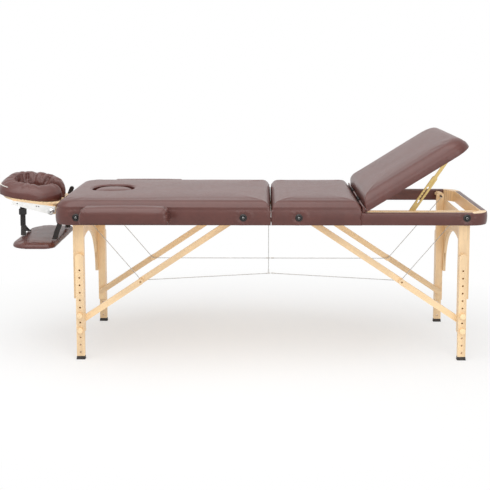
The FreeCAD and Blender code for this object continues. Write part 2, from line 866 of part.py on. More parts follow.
def cradle_base():
    """The cross bar of the cradle with the two dowels that go into the end rail."""
    bar = box(-cradle_bar_x - cradle_bar_width / 2, -cradle_bar_x + cradle_bar_width / 2,
              -cradle_bar_length / 2, cradle_bar_length / 2,
              cradle_axle.z - cradle_bar_height / 2, cradle_axle.z + cradle_bar_height / 2)
    bar = bar.makeFillet(cradle_bar_height / 5, [e for e in bar.Edges if abs(e.tangentAt(0).y) > 0.9])
    for y in (-cradle_dowel_spread, cradle_dowel_spread):
        bar = bar.fuse(rod_x(-cradle_bar_x, -half_length + cradle_dowel_reach, y, cradle_axle.z,
                             cradle_dowel_radius))
    bore = rod_y(cradle_axle.x, cradle_axle.z, -cradle_bar_length, cradle_bar_length,
                 cradle_axle_radius + fit_clearance)
    return bar.cut(bore).removeSplitter()


def lever_spot():
    """The point of the cam lever's cross pin."""
    return V(cradle_axle.x, arm_outer + cam_radius + layer_clearance, cradle_axle.z)


def leaned(shape):
    """A piece at the lever end, turned to the lever's lean."""
    return turned(shape, cradle_axle, lever_lean_deg)


def cradle_axle_rod():
    """The steel axle with a round cap at its near end and a tongue at its far end."""
    spot = lever_spot()
    start = -arm_outer - layer_clearance
    axle = rod_y(cradle_axle.x, cradle_axle.z, start, arm_outer, cradle_axle_radius)
    cap = Part.makeCone(0.7 * cradle_cap_radius, cradle_cap_radius, cradle_cap_height,
                        V(cradle_axle.x, start - 2 * cradle_cap_height, cradle_axle.z), V(0, 1, 0))
    rim = rod_y(cradle_axle.x, cradle_axle.z, start - cradle_cap_height, start, cradle_cap_radius)
    half = tongue_width / 2
    tongue = box(spot.x - half, spot.x + half, arm_outer - 4, spot.y,
                 spot.z - lever_pin_radius - 1.5, spot.z + lever_pin_radius + 1.5)
    nose = rod(V(spot.x - half, spot.y, spot.z), V(spot.x + half, spot.y, spot.z),
               lever_pin_radius + 1.5)
    bore = rod(V(spot.x - cam_width, spot.y, spot.z), V(spot.x + cam_width, spot.y, spot.z),
               lever_pin_radius + fit_clearance)
    end = leaned(tongue.fuse(nose).cut(bore))
    return axle.fuse(cap).fuse(rim).fuse(end).removeSplitter()


def cam_lever():
    """The cam lever at the far end of the axle, standing up and leaning towards the table."""
    spot = lever_spot()
    half = cam_width / 2
    cam = rod(V(spot.x - half, spot.y, spot.z), V(spot.x + half, spot.y, spot.z), cam_radius)
    y0 = spot.y - lever_thickness / 2
    r = lever_width / 2
    top = spot.z + lever_length
    points = [V(spot.x - half, y0, spot.z), V(spot.x + half, y0, spot.z),
              V(spot.x + r, y0, top - r), (V(spot.x, y0, top), V(spot.x - r, y0, top - r))]
    handle = prism(points, V(0, lever_thickness, 0))
    gap = tongue_width / 2 + running_clearance
    reach = lever_pin_radius + 1.5 + cam_radius
    slot = box(spot.x - gap, spot.x + gap, spot.y - 2 * cam_radius, spot.y + 2 * cam_radius,
               spot.z - reach, spot.z + cam_radius)
    pin = rod(V(spot.x - half, spot.y, spot.z), V(spot.x + half, spot.y, spot.z), lever_pin_radius)
    return leaned(cam.fuse(handle).cut(slot).fuse(pin).removeSplitter())


def cradle_platform():
    """The ring board of the cradle on two side arms that turn about the axle."""
    plan = rounded_plan(-platform_x - platform_length / 2, -platform_x + platform_length / 2,
                        -platform_width / 2, platform_width / 2, platform_bottom,
                        platform_corner, platform_corner / 2)
    board = slab(plan, platform_thickness)
    hole = oval_column(-cushion_x, cushion_hole_length, cushion_hole_width,
                      platform_bottom - 1, platform_top + 1)
    body = board.cut(hole)
    boss = arm_height / 2 + 2
    tip = platform_bottom - arm_tip_height
    for side in (-1, 1):
        y = side * (arm_inner if side > 0 else arm_outer)
        slant = boss * math.cos(math.pi / 4)
        points = [V(cradle_axle.x, y, cradle_axle.z - boss),
                  (V(cradle_axle.x + slant, y, cradle_axle.z - slant),
                   V(cradle_axle.x + boss, y, cradle_axle.z)),
                  V(cradle_axle.x + boss, y, platform_bottom),
                  V(-arm_outer_x, y, platform_bottom), V(-arm_outer_x, y, tip)]
        body = body.fuse(prism(points, V(0, arm_thickness, 0)))
    body = body.fuse(box(-arm_outer_x, -arm_outer_x + arm_thickness, -arm_inner, arm_inner,
                         tip, platform_bottom))
    bore = rod_y(cradle_axle.x, cradle_axle.z, -2 * arm_outer, 2 * arm_outer,
                 cradle_axle_radius + fit_clearance)
    return lifted(body.cut(bore).removeSplitter())


def cradle_cushion():
    """The face cushion: a fat ring, open towards the table, with a rolled inner edge."""
    pad = cushion_body(-cushion_x - cushion_length / 2, -cushion_x + cushion_length / 2,
                       -cushion_width / 2, cushion_width / 2, platform_top, cushion_thickness,
                       cushion_crown, cushion_corner, cushion_corner)
    top = platform_top + cushion_thickness + cushion_crown + 1
    wires = []
    for z, grow in ((platform_top - 1, 0.0), (platform_top + 0.5 * cushion_thickness, 0.0),
                    (top, 2 * cushion_flare)):
        wires.append(rounded_plan(-cushion_x - (cushion_hole_length + grow) / 2,
                                  -cushion_x + (cushion_hole_length + grow) / 2,
                                  -(cushion_hole_width + grow) / 2, (cushion_hole_width + grow) / 2,
                                  z, 0.45 * cushion_hole_width, 0.45 * cushion_hole_width))
    hole = Part.makeLoft(wires, True, True)
    slot = box(-cushion_x, -cushion_x + cushion_length, -cushion_slot / 2, cushion_slot / 2,
               platform_top - 1, top)
    return lifted(pad.cut(hole).cut(slot))


# Hanging arm shelf and its webbing
shelf_bottom = shelf_top - shelf_thickness
strap_seat = shelf_top - 0.69 * shelf_crown + soft_clearance


def arm_shelf():
    """The padded board that hangs under the cradle."""
    return cushion_body(-shelf_x - shelf_length / 2, -shelf_x + shelf_length / 2,
                        -shelf_width / 2, shelf_width / 2, shelf_bottom,
                        shelf_thickness - shelf_crown, shelf_crown, shelf_corner, shelf_corner / 2)


def webbing(a, b, width, thickness):
    """A flat strap between two points, wide along X."""
    wires = []
    for spot in (a, b):
        wires.append(outline([V(spot.x - width / 2, spot.y - thickness / 2, spot.z),
                              V(spot.x + width / 2, spot.y - thickness / 2, spot.z),
                              V(spot.x + width / 2, spot.y + thickness / 2, spot.z),
                              V(spot.x - width / 2, spot.y + thickness / 2, spot.z)]))
    return Part.makeLoft(wires, True, True)


front_strap_top = FreeCAD.Rotation(V(0, 1, 0), cradle_tilt_deg).multVec(
    V(-arm_outer_x + arm_thickness / 2 - cradle_axle.x, 0,
      platform_bottom - arm_tip_height - cradle_axle.z)).add(cradle_axle)


def front_strap():
    """The strap from the front of the cradle that parts in two above the shelf."""
    x = front_strap_top.x
    shelf_front = -shelf_x - shelf_length / 2 + strap_width
    start = V(x, 0, front_strap_top.z - 2 * strap_thickness)
    split = V(x, 0, strap_split)
    strap = webbing(split, start, strap_width, strap_thickness)
    for side in (-1, 1):
        foot = V(shelf_front, side * strap_spread, strap_seat)
        strap = strap.fuse(webbing(foot, split, strap_width, strap_thickness))
    return strap.removeSplitter()


def rear_strap():
    """A strap that hangs from a dowel of the cradle, on the far side."""
    y = cradle_dowel_spread
    inner = cradle_dowel_radius + running_clearance
    outer = inner + strap_thickness
    x0 = -rear_strap_x - strap_width / 2
    loop = rod_x(x0, x0 + strap_width, y, cradle_axle.z, outer)
    loop = loop.cut(rod_x(x0, x0 + strap_width, y, cradle_axle.z, inner))
    loop = loop.cut(box(x0 - 1, x0 + strap_width + 1, y - 2 * outer, y + 2 * outer,
                        cradle_axle.z - 2 * outer, cradle_axle.z))
    join = V(-rear_strap_x, y, cradle_axle.z - strap_join_drop)
    for side in (-1, 1):
        top = V(-rear_strap_x, y + side * (inner + strap_thickness / 2), cradle_axle.z)
        loop = loop.fuse(webbing(join, top, strap_width, strap_thickness))
    foot = V(-rear_strap_foot_x, y, strap_seat)
    return loop.fuse(webbing(foot, join, strap_width, strap_thickness)).removeSplitter()


def strap_buckle():
    """The slide buckle on the front strap."""
    x = front_strap_top.x
    half_x = strap_width / 2 + buckle_wall
    half_y = strap_thickness / 2 + buckle_wall
    block = box(x - half_x, x + half_x, -half_y, half_y, buckle_z - buckle_height / 2,
                buckle_z + buckle_height / 2)
    block = block.makeFillet(buckle_wall / 2, block.Edges)
    gap_x = strap_width / 2 + running_clearance
    gap_y = strap_thickness / 2 + running_clearance
    return block.cut(box(x - gap_x, x + gap_x, -gap_y, gap_y, buckle_z - buckle_height,
                         buckle_z + buckle_height))


def armrest_bores():
    """The holes in the head half's side rails for the armrest dowels."""
    return [(-x, armrest_dowel_z, armrest_dowel_radius + dowel_clearance)
            for x in armrest_dowel_places()]


def head_end_rail():
    """The end rail of the head half, bored for the cradle's dowels."""
    rail = mirror_x(end_rail())
    for y in (-cradle_dowel_spread, cradle_dowel_spread):
        rail = rail.cut(rod_x(-half_length - 1, -half_length + end_rail_thickness + 1, y,
                              cradle_axle.z, cradle_dowel_radius + dowel_clearance))
    return rail


def face_column(shrink, z0, z1):
    """The column of the face hole, smaller all round by the given amount."""
    return oval_column(-face_hole_x, face_hole_length - 2 * shrink, face_hole_width - 2 * shrink,
                       z0, z1)


def head_pad():
    """The padded top of the head half with its face hole."""
    pad = mirror_x(cushion_body(inner_end, half_length, -half_width, half_width, deck_top,
                                pad_thickness, pad_crown, pad_corner_small, corner_radius))
    return pad.cut(face_column(0.0, deck_top - 1, pad_top + 2 * pad_crown))


def face_plug():
    """The padded plug that fills the face hole and rests on the rim of the deck."""
    length = face_hole_length - 2 * plug_clearance
    width = face_hole_width - 2 * plug_clearance
    return cushion_body(-face_hole_x - length / 2, -face_hole_x + length / 2, -width / 2, width / 2,
                        deck_top + soft_clearance, pad_thickness - soft_clearance, pad_crown,
                        0.48 * width, 0.48 * width)


def build_nodes():
    """Every piece of the table by name, at rest."""
    nodes = {}
    nodes["head_side_rails"] = both_sides(mirror_x(side_rail(pivot_bores(), armrest_bores())))
    nodes["head_cross_rails"] = Part.makeCompound([head_end_rail(), mirror_x(centre_rail())])
    nodes["head_corner_blocks"] = both_sides(mirror_x(corner_block()))
    nodes["head_deck"] = mirror_x(deck_plate(half_length, corner_radius)).cut(
        face_column(face_ledge, rail_top - 1, deck_top + 1))
    nodes["head_pad"] = head_pad()
    nodes["face_plug"] = face_plug()

    nodes["seat_side_rails"] = both_sides(side_rail(pivot_bores(), []))
    nodes["seat_cross_rails"] = Part.makeCompound(
        [end_rail(), centre_rail(), seat_batten(), mirror_y(stringer())])
    nodes["foot_corner_blocks"] = both_sides(corner_block())
    nodes["seat_deck"] = deck_plate(seat_end, 1.0)
    nodes["seat_pad"] = cushion_body(inner_end, seat_end - soft_clearance, -half_width, half_width,
                                     deck_top, pad_thickness, pad_crown, pad_corner_small,
                                     pad_corner_small)

    nodes["head_hinge_leaves"] = Part.makeCompound(
        [mirror_x(hinge_leaf(y, 1)) for y in hinge_places()])
    nodes["seat_hinge_leaves"] = Part.makeCompound([hinge_leaf(y, 0) for y in hinge_places()])
    nodes["centre_hinge_pins"] = Part.makeCompound([hinge_pin(y) for y in hinge_places()])

    nodes["backrest_board"] = back_board()
    nodes["backrest_pad"] = back_pad()
    nodes["backrest_fittings"] = Part.makeCompound(
        [raised(back_hinge_leaf(y)) for y in back_hinge_places()]
        + [mirror_y(strut_head_bracket())])
    nodes["seat_fittings"] = Part.makeCompound(
        [seat_hinge_leaf(y) for y in back_hinge_places()]
        + [mirror_y(strut_foot_pin())])
    nodes["strut_channels"] = mirror_y(strut_channel())
    nodes["strut_bars"] = mirror_y(strut_bar())

    for end, half in (("foot", lambda shape: shape), ("head", mirror_x)):
        nodes[end + "_pivot_bolts"] = half(half_hardware())
        nodes[end + "_legs"] = both_sides(half(upper_leg()))
        nodes[end + "_arch_panel"] = half(arch_panel())
        nodes[end + "_lower_braces"] = half(Part.makeCompound(
            [lower_brace(), brace_foot_pin(), mirror_y(lower_brace()), mirror_y(brace_foot_pin())]))
        nodes[end + "_upper_braces"] = both_sides(half(upper_brace()))
        for side, turn in (("far", lambda shape: shape), ("near", mirror_y)):
            name = end + "_" + side
            nodes[name + "_extension"] = turn(half(leg_extension()))
            nodes[name + "_foot_cap"] = turn(half(foot_cap()))
            for place, height in zip(("lower", "upper"), knob_heights()):
                nodes[name + "_" + place + "_knob"] = turn(half(knob_screw(height)))
    nodes["head_cables"] = head_half_cables()
    nodes["foot_cables"] = foot_half_cables()

    for side, turn in (("far", lambda shape: shape), ("near", mirror_y)):
        nodes[side + "_armrest_board"] = turn(armrest_base())
        nodes[side + "_armrest_pad"] = turn(armrest_cushion())

    nodes["cradle_base"] = cradle_base()
    nodes["cradle_axle"] = cradle_axle_rod()
    nodes["cam_lever"] = cam_lever()
    nodes["cradle_platform"] = cradle_platform()
    nodes["cradle_cushion"] = cradle_cushion()
    nodes["arm_shelf"] = arm_shelf()
    nodes["shelf_straps"] = Part.makeCompound([front_strap(), rear_strap(), mirror_y(rear_strap())])
    nodes["strap_buckle"] = strap_buckle()
    return nodes


def centre_shift(nodes):
    """The move along X that puts the origin under the middle of the whole table."""
    boxes = [shape.optimalBoundingBox(False, False) for shape in nodes.values()]
    return -(min(b.XMin for b in boxes) + max(b.XMax for b in boxes)) / 2


def main():
    """Write every piece to its own file."""
    os.makedirs("parts", exist_ok=True)
    nodes = build_nodes()
    shift = centre_shift(nodes)
    for name, shape in nodes.items():
        placed = shape.copy()
        placed.translate(V(shift, 0, 0))
        placed.exportStep(os.path.join("parts", name + ".step"))
        solids = placed.Solids
        volume = sum(solid.Volume for solid in solids)
        valid = all(solid.isValid() for solid in solids)
        print(f"{name}: {len(solids)} solids, {volume / 1000:.1f} cm3, valid {valid}")
    print(f"{len(nodes)} pieces, shift {shift:.4f}")


main()
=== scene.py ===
"""Folding massage table: soft covers, cables, straps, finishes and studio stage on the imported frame."""

import math
from contextlib import contextmanager

import bmesh
import bpy
from bpy.props import FloatProperty, FloatVectorProperty, IntProperty, PointerProperty
from mathutils import Euler, Matrix, Vector, noise
from mathutils.bvhtree import BVHTree


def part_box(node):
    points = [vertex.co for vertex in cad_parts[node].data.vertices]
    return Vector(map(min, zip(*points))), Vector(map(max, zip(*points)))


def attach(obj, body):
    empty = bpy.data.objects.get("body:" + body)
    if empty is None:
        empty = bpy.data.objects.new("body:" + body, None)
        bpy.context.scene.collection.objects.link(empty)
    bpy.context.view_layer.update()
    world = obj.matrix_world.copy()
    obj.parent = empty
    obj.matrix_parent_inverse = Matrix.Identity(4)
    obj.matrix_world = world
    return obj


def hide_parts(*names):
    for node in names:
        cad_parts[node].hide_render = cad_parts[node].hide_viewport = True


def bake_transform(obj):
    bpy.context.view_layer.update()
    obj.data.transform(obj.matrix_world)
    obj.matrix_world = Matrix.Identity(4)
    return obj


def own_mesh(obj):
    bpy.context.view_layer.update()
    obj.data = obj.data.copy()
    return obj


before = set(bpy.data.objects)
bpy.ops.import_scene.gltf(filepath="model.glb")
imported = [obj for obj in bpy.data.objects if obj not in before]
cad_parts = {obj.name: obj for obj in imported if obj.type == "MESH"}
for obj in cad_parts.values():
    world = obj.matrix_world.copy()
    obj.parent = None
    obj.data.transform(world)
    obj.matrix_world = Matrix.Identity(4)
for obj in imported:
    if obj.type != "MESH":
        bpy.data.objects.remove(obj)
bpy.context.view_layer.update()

bl_info = {
    "name": "Folding massage table",
    "version": (1, 0, 0),
    "blender": (4, 5, 0),
    "location": "3D View > Sidebar > Table",
    "description": "Covers, cables, straps and finishes of a folding massage table",
    "category": "Object",
}

PINS_LOW, PINS_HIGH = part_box("centre_hinge_pins")
FOLD_X = (PINS_LOW.x + PINS_HIGH.x) / 2
DECK_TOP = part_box("head_deck")[1].z
RAIL_LOW, RAIL_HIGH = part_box("head_side_rails")
HEAD_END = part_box("head_corner_blocks")[0].x
FOOT_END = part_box("foot_corner_blocks")[1].x
RAIL_FACE = RAIL_HIGH.y
IMAGE_PIXELS = 490
PLY_COUNT = 4
STRAND_COUNT = 6
STRAND_LAY = 0.018
WEAVE_RIB = 0.0024
WEAVE_PICK = 0.0018
CLOTH_FRAMES = 20
CLOTH_QUALITY = 4
CLOTH_PRESSURE = 4.0
SWELL_INSET = 0.0025
FLOOR_SIZE = 30.0
FLOOR_FADE = (0.35, 1.15)
FLOOR_GLOW = 0.45
KEY_LAMP = ((-0.5, -0.9, 3.1), (0.1, 0.0, 0.6), 3.4)
FILL_LAMP = ((1.9, -3.6, 1.9), (0.2, 0.0, 0.5), 2.2)
ROUTE_STEPS = 24
SLEEVE_STEPS = (0.016, 0.0145, 0.012, 0.007, 0.002, 0.0002)
SLEEVE_RADIUS = 0.95
SLEEVE_SIDES = 14
CABLE_SIDES = 12
PIPING_SIDES = 8
STRAP_WIDTH = 0.024
STRAP_THICKNESS = 0.0016
STRAP_SECTION = ((-1, -1), (0, -1.25), (1, -1), (1, 1), (0, 1.25), (-1, 1))
# Screw heads as cones: bottom and top radius, height, foot (shares of the head), finish and sides
# The last layer, the six-sided socket, takes a black finish: painted shade in the screw's recess.
SCREW_LAYERS = ((1.0, 0.92, 0.45, 0.0, "Head", 16), (0.92, 0.55, 0.40, 0.45, "Head", 16),
                (0.46, 0.42, 0.20, 0.72, "Socket", 6))
CORNER_RADIUS = 0.070
COVER_STEP = 0.006
COVER_ROWS = 12
COVER_WALL = 0.8
COVER_TAILS = (0.010, 0.0012)
INNER_ROWS = 8
CORNER_STEPS = 10
CORNER_REACH = (0.009, 0.0075, 0.0045)
OPEN_CORNER = 0.012
HOLE_ROUND = 0.96
SEAT_GAP = 0.0002
ROLL_STEPS = 6
ROOT_DEPTH = 0.012

# Places of the frame in millimetres from the fold line, as the cables and straps follow them
LEG_PIVOT = (828.0, 636.0)
BRACE_JOINT = (571.139, 333.482)
BRACE_ANGLE = 0.58865
CABLE_Y = 195.5
CABLE_RISE = 32.0
CABLE_END = 2.0
CABLE_HANGER = 10.0
CABLE_BEND = 6000
FRONT_STRAP_X = -1143.996
FRONT_STRAP_Z = (656.5, 533.0)
FRONT_STRAP_BEND = (640.0, 536.0)
SHELF_FRONT = -1130.0
SHELF_TOP = 499.0
STRAP_BAR = (-942.0, 630.0)
STRAP_BAR_Y = 120.0
STRAP_LOOP = 11.1
STRAP_DROP = 575.0

# Places in metres from the fold line
BOLT_PLACES = (-0.828, -0.118, 0.118, 0.828)
BOLT_Z = LEG_PIVOT[1] / 1000
BUSH_RADIUS = 0.013
WASHER_RADIUS = 0.018
PUCKER_REACH = 0.046
ARMREST_DOWELS = (-0.723, -0.503)
ARMREST_MIDDLE = -0.613
ARMREST_HALF = 0.183
ARMREST_DOWEL_Z = 0.640
DOWEL_HOLE = 0.0105
CRADLE_DOWELS = (-0.120, 0.120)
CRADLE_HOLE = 0.0125
CRADLE_AXLE = (-0.975, 0.630)
CRADLE_TILT = math.radians(8.0)
CUSHION_MIDDLE = -1.109
PIPING_Z = 0.703
CUSHION_STRETCH = 1.03
CUSHION_SHIFT = 0.005
CUSHION_LEAN = (0.92, 1.9)
CREASE_COUNT = 15
CREASE_DEPTH = 0.0105
CREASE_BAND = (0.082, 0.056)
RIM_FOLDS = 21
RIM_BAND = (0.130, 0.04)
PIPING_TURN = (125, 235)
PLATFORM_DEPTH = 0.009
CLAMP_FACE = -0.1560
ARM_FACE = 0.1475
ARM_SCREWS = (-1.128, -1.042, -1.032)
PLATFORM_TOP = 0.663
FOLD_FACE = 0.0012
PAD_ROLL = 0.040
PAD_CROWN = 0.004
PLUG_MIDDLE = -0.722
PLUG_HALF = (0.090, 0.079)
RAIL_DEPTH = 0.022
OUTER_ROWS = COVER_ROWS + 3
BACK_TILT = math.radians(32.0)
BACK_AXIS = (0.388, 0.688)
BACK_SPAN = (0.3913, 0.906)
BACK_BOARD_LOW = 0.6563
BACK_EDGE = 0.724
BACK_CROWN = 0.004
BACK_ROLL = 0.052
BACK_CORNER = 0.075
SQUARE_CORNER = 0.002
ARMREST_CORNER = 0.0172
SIDE_BULGE = 0.0036
TUCK_DEPTH = 0.0028
TUCK_PLACE = (0.009, 0.008)
HOLE_DIP = (0.016, 0.006)

# Waves of the leather: turns of the noise for each metre, and height in metres
TOP_WAVE = (9.0, 0.0008)
TOP_EDGE_WAVE = ((42.0, 42.0, 16.0), 0.0007)
BACK_WAVE = (8.0, 0.0010)
BACK_EDGE_WAVE = ((36.0, 36.0, 14.0), 0.0010)
PLUG_WAVE = (14.0, 0.0006)
RAIL_WAVE = (14.0, 0.0002)
ARMREST_WAVE = (20.0, 0.0007)
CUSHION_WAVE = (24.0, 0.0014)
SHELF_WAVE = (20.0, 0.0008)

GUSSET_SEAT = 0.3866
GUSSET_BACK = 0.3906
GUSSET_LEVELS = (0.6575, 0.684)
GUSSET_STEPS = 6
GUSSET_SPANS = ((-0.3105, -0.159), (-0.081, 0.081), (0.159, 0.3105))


def colour(name, description, default):
    """A colour that the panel shows."""
    return FloatVectorProperty(name=name, description=description, default=default, size=3, min=0.0, max=1.0,
                               subtype="COLOR")


def length(name, description, default, low, high):
    """A length that the panel shows."""
    return FloatProperty(name=name, description=description, default=default, min=low, max=high,
                         subtype="DISTANCE", unit="LENGTH")


class TableFinish(bpy.types.PropertyGroup):
    """Colours of the table's finishes."""

    leather: colour("Leather", "Brown of the covers", (0.102, 0.031, 0.0245))
    wood: colour("Wood", "Pale lacquered birch", (0.92, 0.67, 0.40))
    zinc: colour("Yellow zinc", "Passivated steel of the strut", (0.80, 0.70, 0.38))
    steel: colour("Steel", "Hinges, pins and cables", (0.68, 0.68, 0.67))
    black: colour("Black", "Straps, washers, lever and buckle", (0.016, 0.015, 0.015))


class TableSizes(bpy.types.PropertyGroup):
    """Sizes of the sewn and fitted details."""

    cover_thickness: length("Cover thickness", "Leather over the rails", 0.0011, 0.0005, 0.003)
    voxel: length("Cloth grid", "Grid of the padded pieces before they swell", 0.0055, 0.004, 0.012)
    swell_cap: length("Swell", "Furthest that a point of a pad may move", 0.0014, 0.0, 0.02)
    piping_radius: length("Piping", "Radius of the sewn piping", 0.0022, 0.001, 0.006)
    cable_diameter: length("Cable", "Diameter of the bracing cables", 0.003, 0.002, 0.006)
    pucker_count: IntProperty(
        name="Puckers", description="Creases that run into each cup washer", default=11, min=5, max=24)


class TableStage(bpy.types.PropertyGroup):
    """Camera and lamps."""

    camera_place: FloatVectorProperty(
        name="Camera", description="Place of the camera, X from the fold line",
        default=(-0.0274, -3.7949, 1.3525), size=3, subtype="XYZ", unit="LENGTH")
    camera_pitch: FloatProperty(
        name="Pitch", description="How far the camera looks down", default=0.0891, subtype="ANGLE",
        unit="ROTATION")
    camera_yaw: FloatProperty(
        name="Yaw", description="How far the camera turns to the left", default=0.0074, subtype="ANGLE",
        unit="ROTATION")
    focal_pixels: FloatProperty(
        name="Focal length", description="Focal length in pixels of the square image", default=834.8,
        min=200.0, max=4000.0)
    shift_x: FloatProperty(name="Shift X", description="Sideways lens shift", default=-0.0276)
    shift_y: FloatProperty(name="Shift Y", description="Upright lens shift", default=-0.25)
    key_power: FloatProperty(
        name="Key lamp", description="Power of the large lamp above", default=74.0, min=0.0, unit="POWER")
    fill_power: FloatProperty(
        name="Fill lamp", description="Power of the lamp beside the camera", default=34.0, min=0.0,
        unit="POWER")
    sky: FloatProperty(
        name="Room light", description="Strength of the even white room", default=0.62, min=0.0, max=2.0)


def finish_values():
    """The colours set for this scene."""
    return bpy.context.scene.table_finish


def size_values():
    """The sizes set for this scene."""
    return bpy.context.scene.table_sizes


def stage_values():
    """The camera and lamp values set for this scene."""
    return bpy.context.scene.table_stage


class Wire:
    """One output socket of a shader; arithmetic on it adds Math nodes to its tree."""

    def __init__(self, socket):
        self.socket = socket
        self.tree = socket.id_data

    def math(self, operation, first, second):
        node = self.tree.nodes.new("ShaderNodeMath")
        node.operation = operation
        for entry, value in zip(node.inputs, (first, second)):
            feed(entry, value)
        return Wire(node.outputs[0])

    def __add__(self, other):
        return self.math("ADD", self, other)

    def __radd__(self, other):
        return self.math("ADD", other, self)

    def __sub__(self, other):
        return self.math("SUBTRACT", self, other)

    def __rsub__(self, other):
        return self.math("SUBTRACT", other, self)

    def __mul__(self, other):
        return self.math("MULTIPLY", self, other)

    def __truediv__(self, other):
        return self.math("DIVIDE", self, other)

    def __gt__(self, other):
        return self.math("GREATER_THAN", self, other)

    def __lt__(self, other):
        return self.math("LESS_THAN", self, other)

    def sine(self):
        return self.math("SINE", self, 0.0)


def feed(entry, value):
    """Links a wire to a node's entry, or sets its value."""
    if isinstance(value, Wire):
        entry.id_data.links.new(value.socket, entry)
    elif hasattr(entry.default_value, "__len__") and hasattr(value, "__len__"):
        size = len(entry.default_value)
        entry.default_value = (tuple(value) + (1.0,))[:size]
    else:
        entry.default_value = value


class Finish:
    """A material under construction."""

    def __init__(self, name):
        self.material = bpy.data.materials.new(name)
        self.material.use_nodes = True
        self.tree = self.material.node_tree
        self.surface = self.tree.nodes["Principled BSDF"]

    def node(self, kind, settings=None, sockets=None, output=0):
        """Adds a node: its settings first, then its sockets; gives one of its outputs."""
        node = self.tree.nodes.new(kind)
        for key, value in (settings or {}).items():
            if key == "stops":
                ramp = node.color_ramp.elements
                while len(ramp) < len(value):
                    ramp.new(0.5)
                for stop, (position, colour) in zip(ramp, value):
                    stop.position = position
                    stop.color = (*colour, 1.0)
            else:
                setattr(node, key, value)
        for key, value in (sockets or {}).items():
            feed(node.inputs[key], value)
        return Wire(node.outputs[output])

    def place(self):
        """Object coordinates, which are the table's own metres."""
        return self.node("ShaderNodeTexCoord", output="Object")

    def mapped(self, scale, rotation=(0.0, 0.0, 0.0), source=None):
        """Coordinates that are turned and stretched."""
        return self.node("ShaderNodeMapping", {"vector_type": "POINT"}, {
            "Vector": source or self.place(), "Scale": scale, "Rotation": rotation})

    def turned(self, rotation, scale):
        """Coordinates that are first turned to a piece's own direction, then stretched along it."""
        return self.mapped(scale, source=self.mapped((1.0, 1.0, 1.0), rotation))

    def noise(self, vector, scale, detail=3.0, roughness=0.5, distortion=0.0):
        """Fractal noise from 0 to 1."""
        return self.node("ShaderNodeTexNoise", {"noise_dimensions": "3D"}, {
            "Vector": vector, "Scale": scale, "Detail": detail, "Roughness": roughness,
            "Distortion": distortion})

    def cells(self, vector, scale, feature="F1"):
        """Cell pattern, as the pebbles of leather."""
        return self.node("ShaderNodeTexVoronoi", {"feature": feature}, {
            "Vector": vector, "Scale": scale, "Randomness": 1.0}, "Distance")

    def ramp(self, factor, stops):
        """A colour from a factor."""
        return self.node("ShaderNodeValToRGB", {"stops": stops}, {"Fac": factor})

    def mix(self, factor, first, second):
        """Two colours mixed."""
        return self.node("ShaderNodeMix", {"data_type": "RGBA", "blend_type": "MIX"},
                         {0: factor, 6: first, 7: second}, 2)

    def bump(self, height, strength, distance):
        """Sends a height to the surface's normal."""
        normal = self.node("ShaderNodeBump", {}, {
            "Height": height, "Strength": strength, "Distance": distance})
        self.set(Normal=normal)

    def set(self, **values):
        """Sets or links the surface's own sockets; underscores stand for spaces."""
        for key, value in values.items():
            feed(self.surface.inputs[key.replace("_", " ")], value)
        return self


def shade(colour, amount):
    """A colour made darker or lighter."""
    return tuple(min(1.0, c * amount) for c in colour[:3])


def finish_named(name, make):
    """The material of that name, made once."""
    return bpy.data.materials.get(name) or make(name)


def leather_finish(name):
    """Pebbled brown upholstery leather with a soft gloss."""
    skin = Finish(name)
    brown = tuple(finish_values().leather)
    place = skin.place()
    cloud = skin.noise(place, 7.0, 4.0, 0.6)
    patch = skin.noise(place, 46.0, 3.0, 0.55)
    pebble = skin.cells(place, 780.0)
    crease = skin.cells(place, 330.0, "DISTANCE_TO_EDGE")
    wrinkle = skin.noise(skin.mapped((30.0, 22.0, 26.0)), 1.0, 3.0, 0.6, 1.2)
    tone = skin.ramp(cloud * 0.6 + patch * 0.4, [
        (0.25, shade(brown, 0.80)), (0.5, brown), (0.78, shade(brown, 1.22))])
    # Pebble valleys are painted darker: painted shade in the creases of the grain.
    crease_shade = (crease < 0.035) * 0.35
    skin.set(Base_Color=skin.mix(crease_shade, tone, shade(brown, 0.55)),
             Roughness=0.24 + patch * 0.12 + pebble * 0.05)
    skin.set(IOR=1.5, Specular_IOR_Level=0.50)
    skin.bump(pebble * 0.45 + crease * 2.2 + wrinkle * 0.6, 0.13, 0.0014)
    return skin.material


def wood_finish(name, rotation=(0.0, 0.0, 0.0), painted_highlight_gain=1.0):
    """Lacquered pale birch; the grain runs along X after the given turn."""
    board = Finish(name)
    # A gain above 1 lightens the wood all over: a painted highlight, used for the knobs.
    pale = shade(finish_values().wood, painted_highlight_gain)
    figure = board.noise(board.turned(rotation, (1.6, 15.0, 15.0)), 1.0, 3.0, 0.55, 1.4)
    rings = board.node("ShaderNodeTexWave", {"wave_type": "BANDS", "bands_direction": "Y"}, {
        "Vector": board.turned(rotation, (1.5, 34.0, 11.0)), "Scale": 1.0, "Distortion": 7.0,
        "Detail": 3.0, "Detail Scale": 1.2}, "Fac")
    fibre = board.noise(board.turned(rotation, (24.0, 620.0, 620.0)), 1.0, 2.0, 0.6)
    fleck = board.noise(board.turned(rotation, (75.0, 900.0, 900.0)), 1.0, 1.0, 0.5)
    tone = board.ramp(figure * 0.45 + rings * 0.30 + fibre * 0.25, [
        (0.22, shade(pale, 0.80)), (0.47, pale), (0.75, shade(pale, 1.12))])
    dash = (fleck > 0.66) * 0.30
    board.set(Base_Color=board.mix(dash, tone, shade(pale, 0.55)),
              Roughness=0.36 + fibre * 0.16)
    board.set(IOR=1.5, Coat_Weight=0.25, Coat_Roughness=0.18)
    board.bump(fibre * 0.6 + rings * 0.4, 0.10, 0.0008)
    return board.material


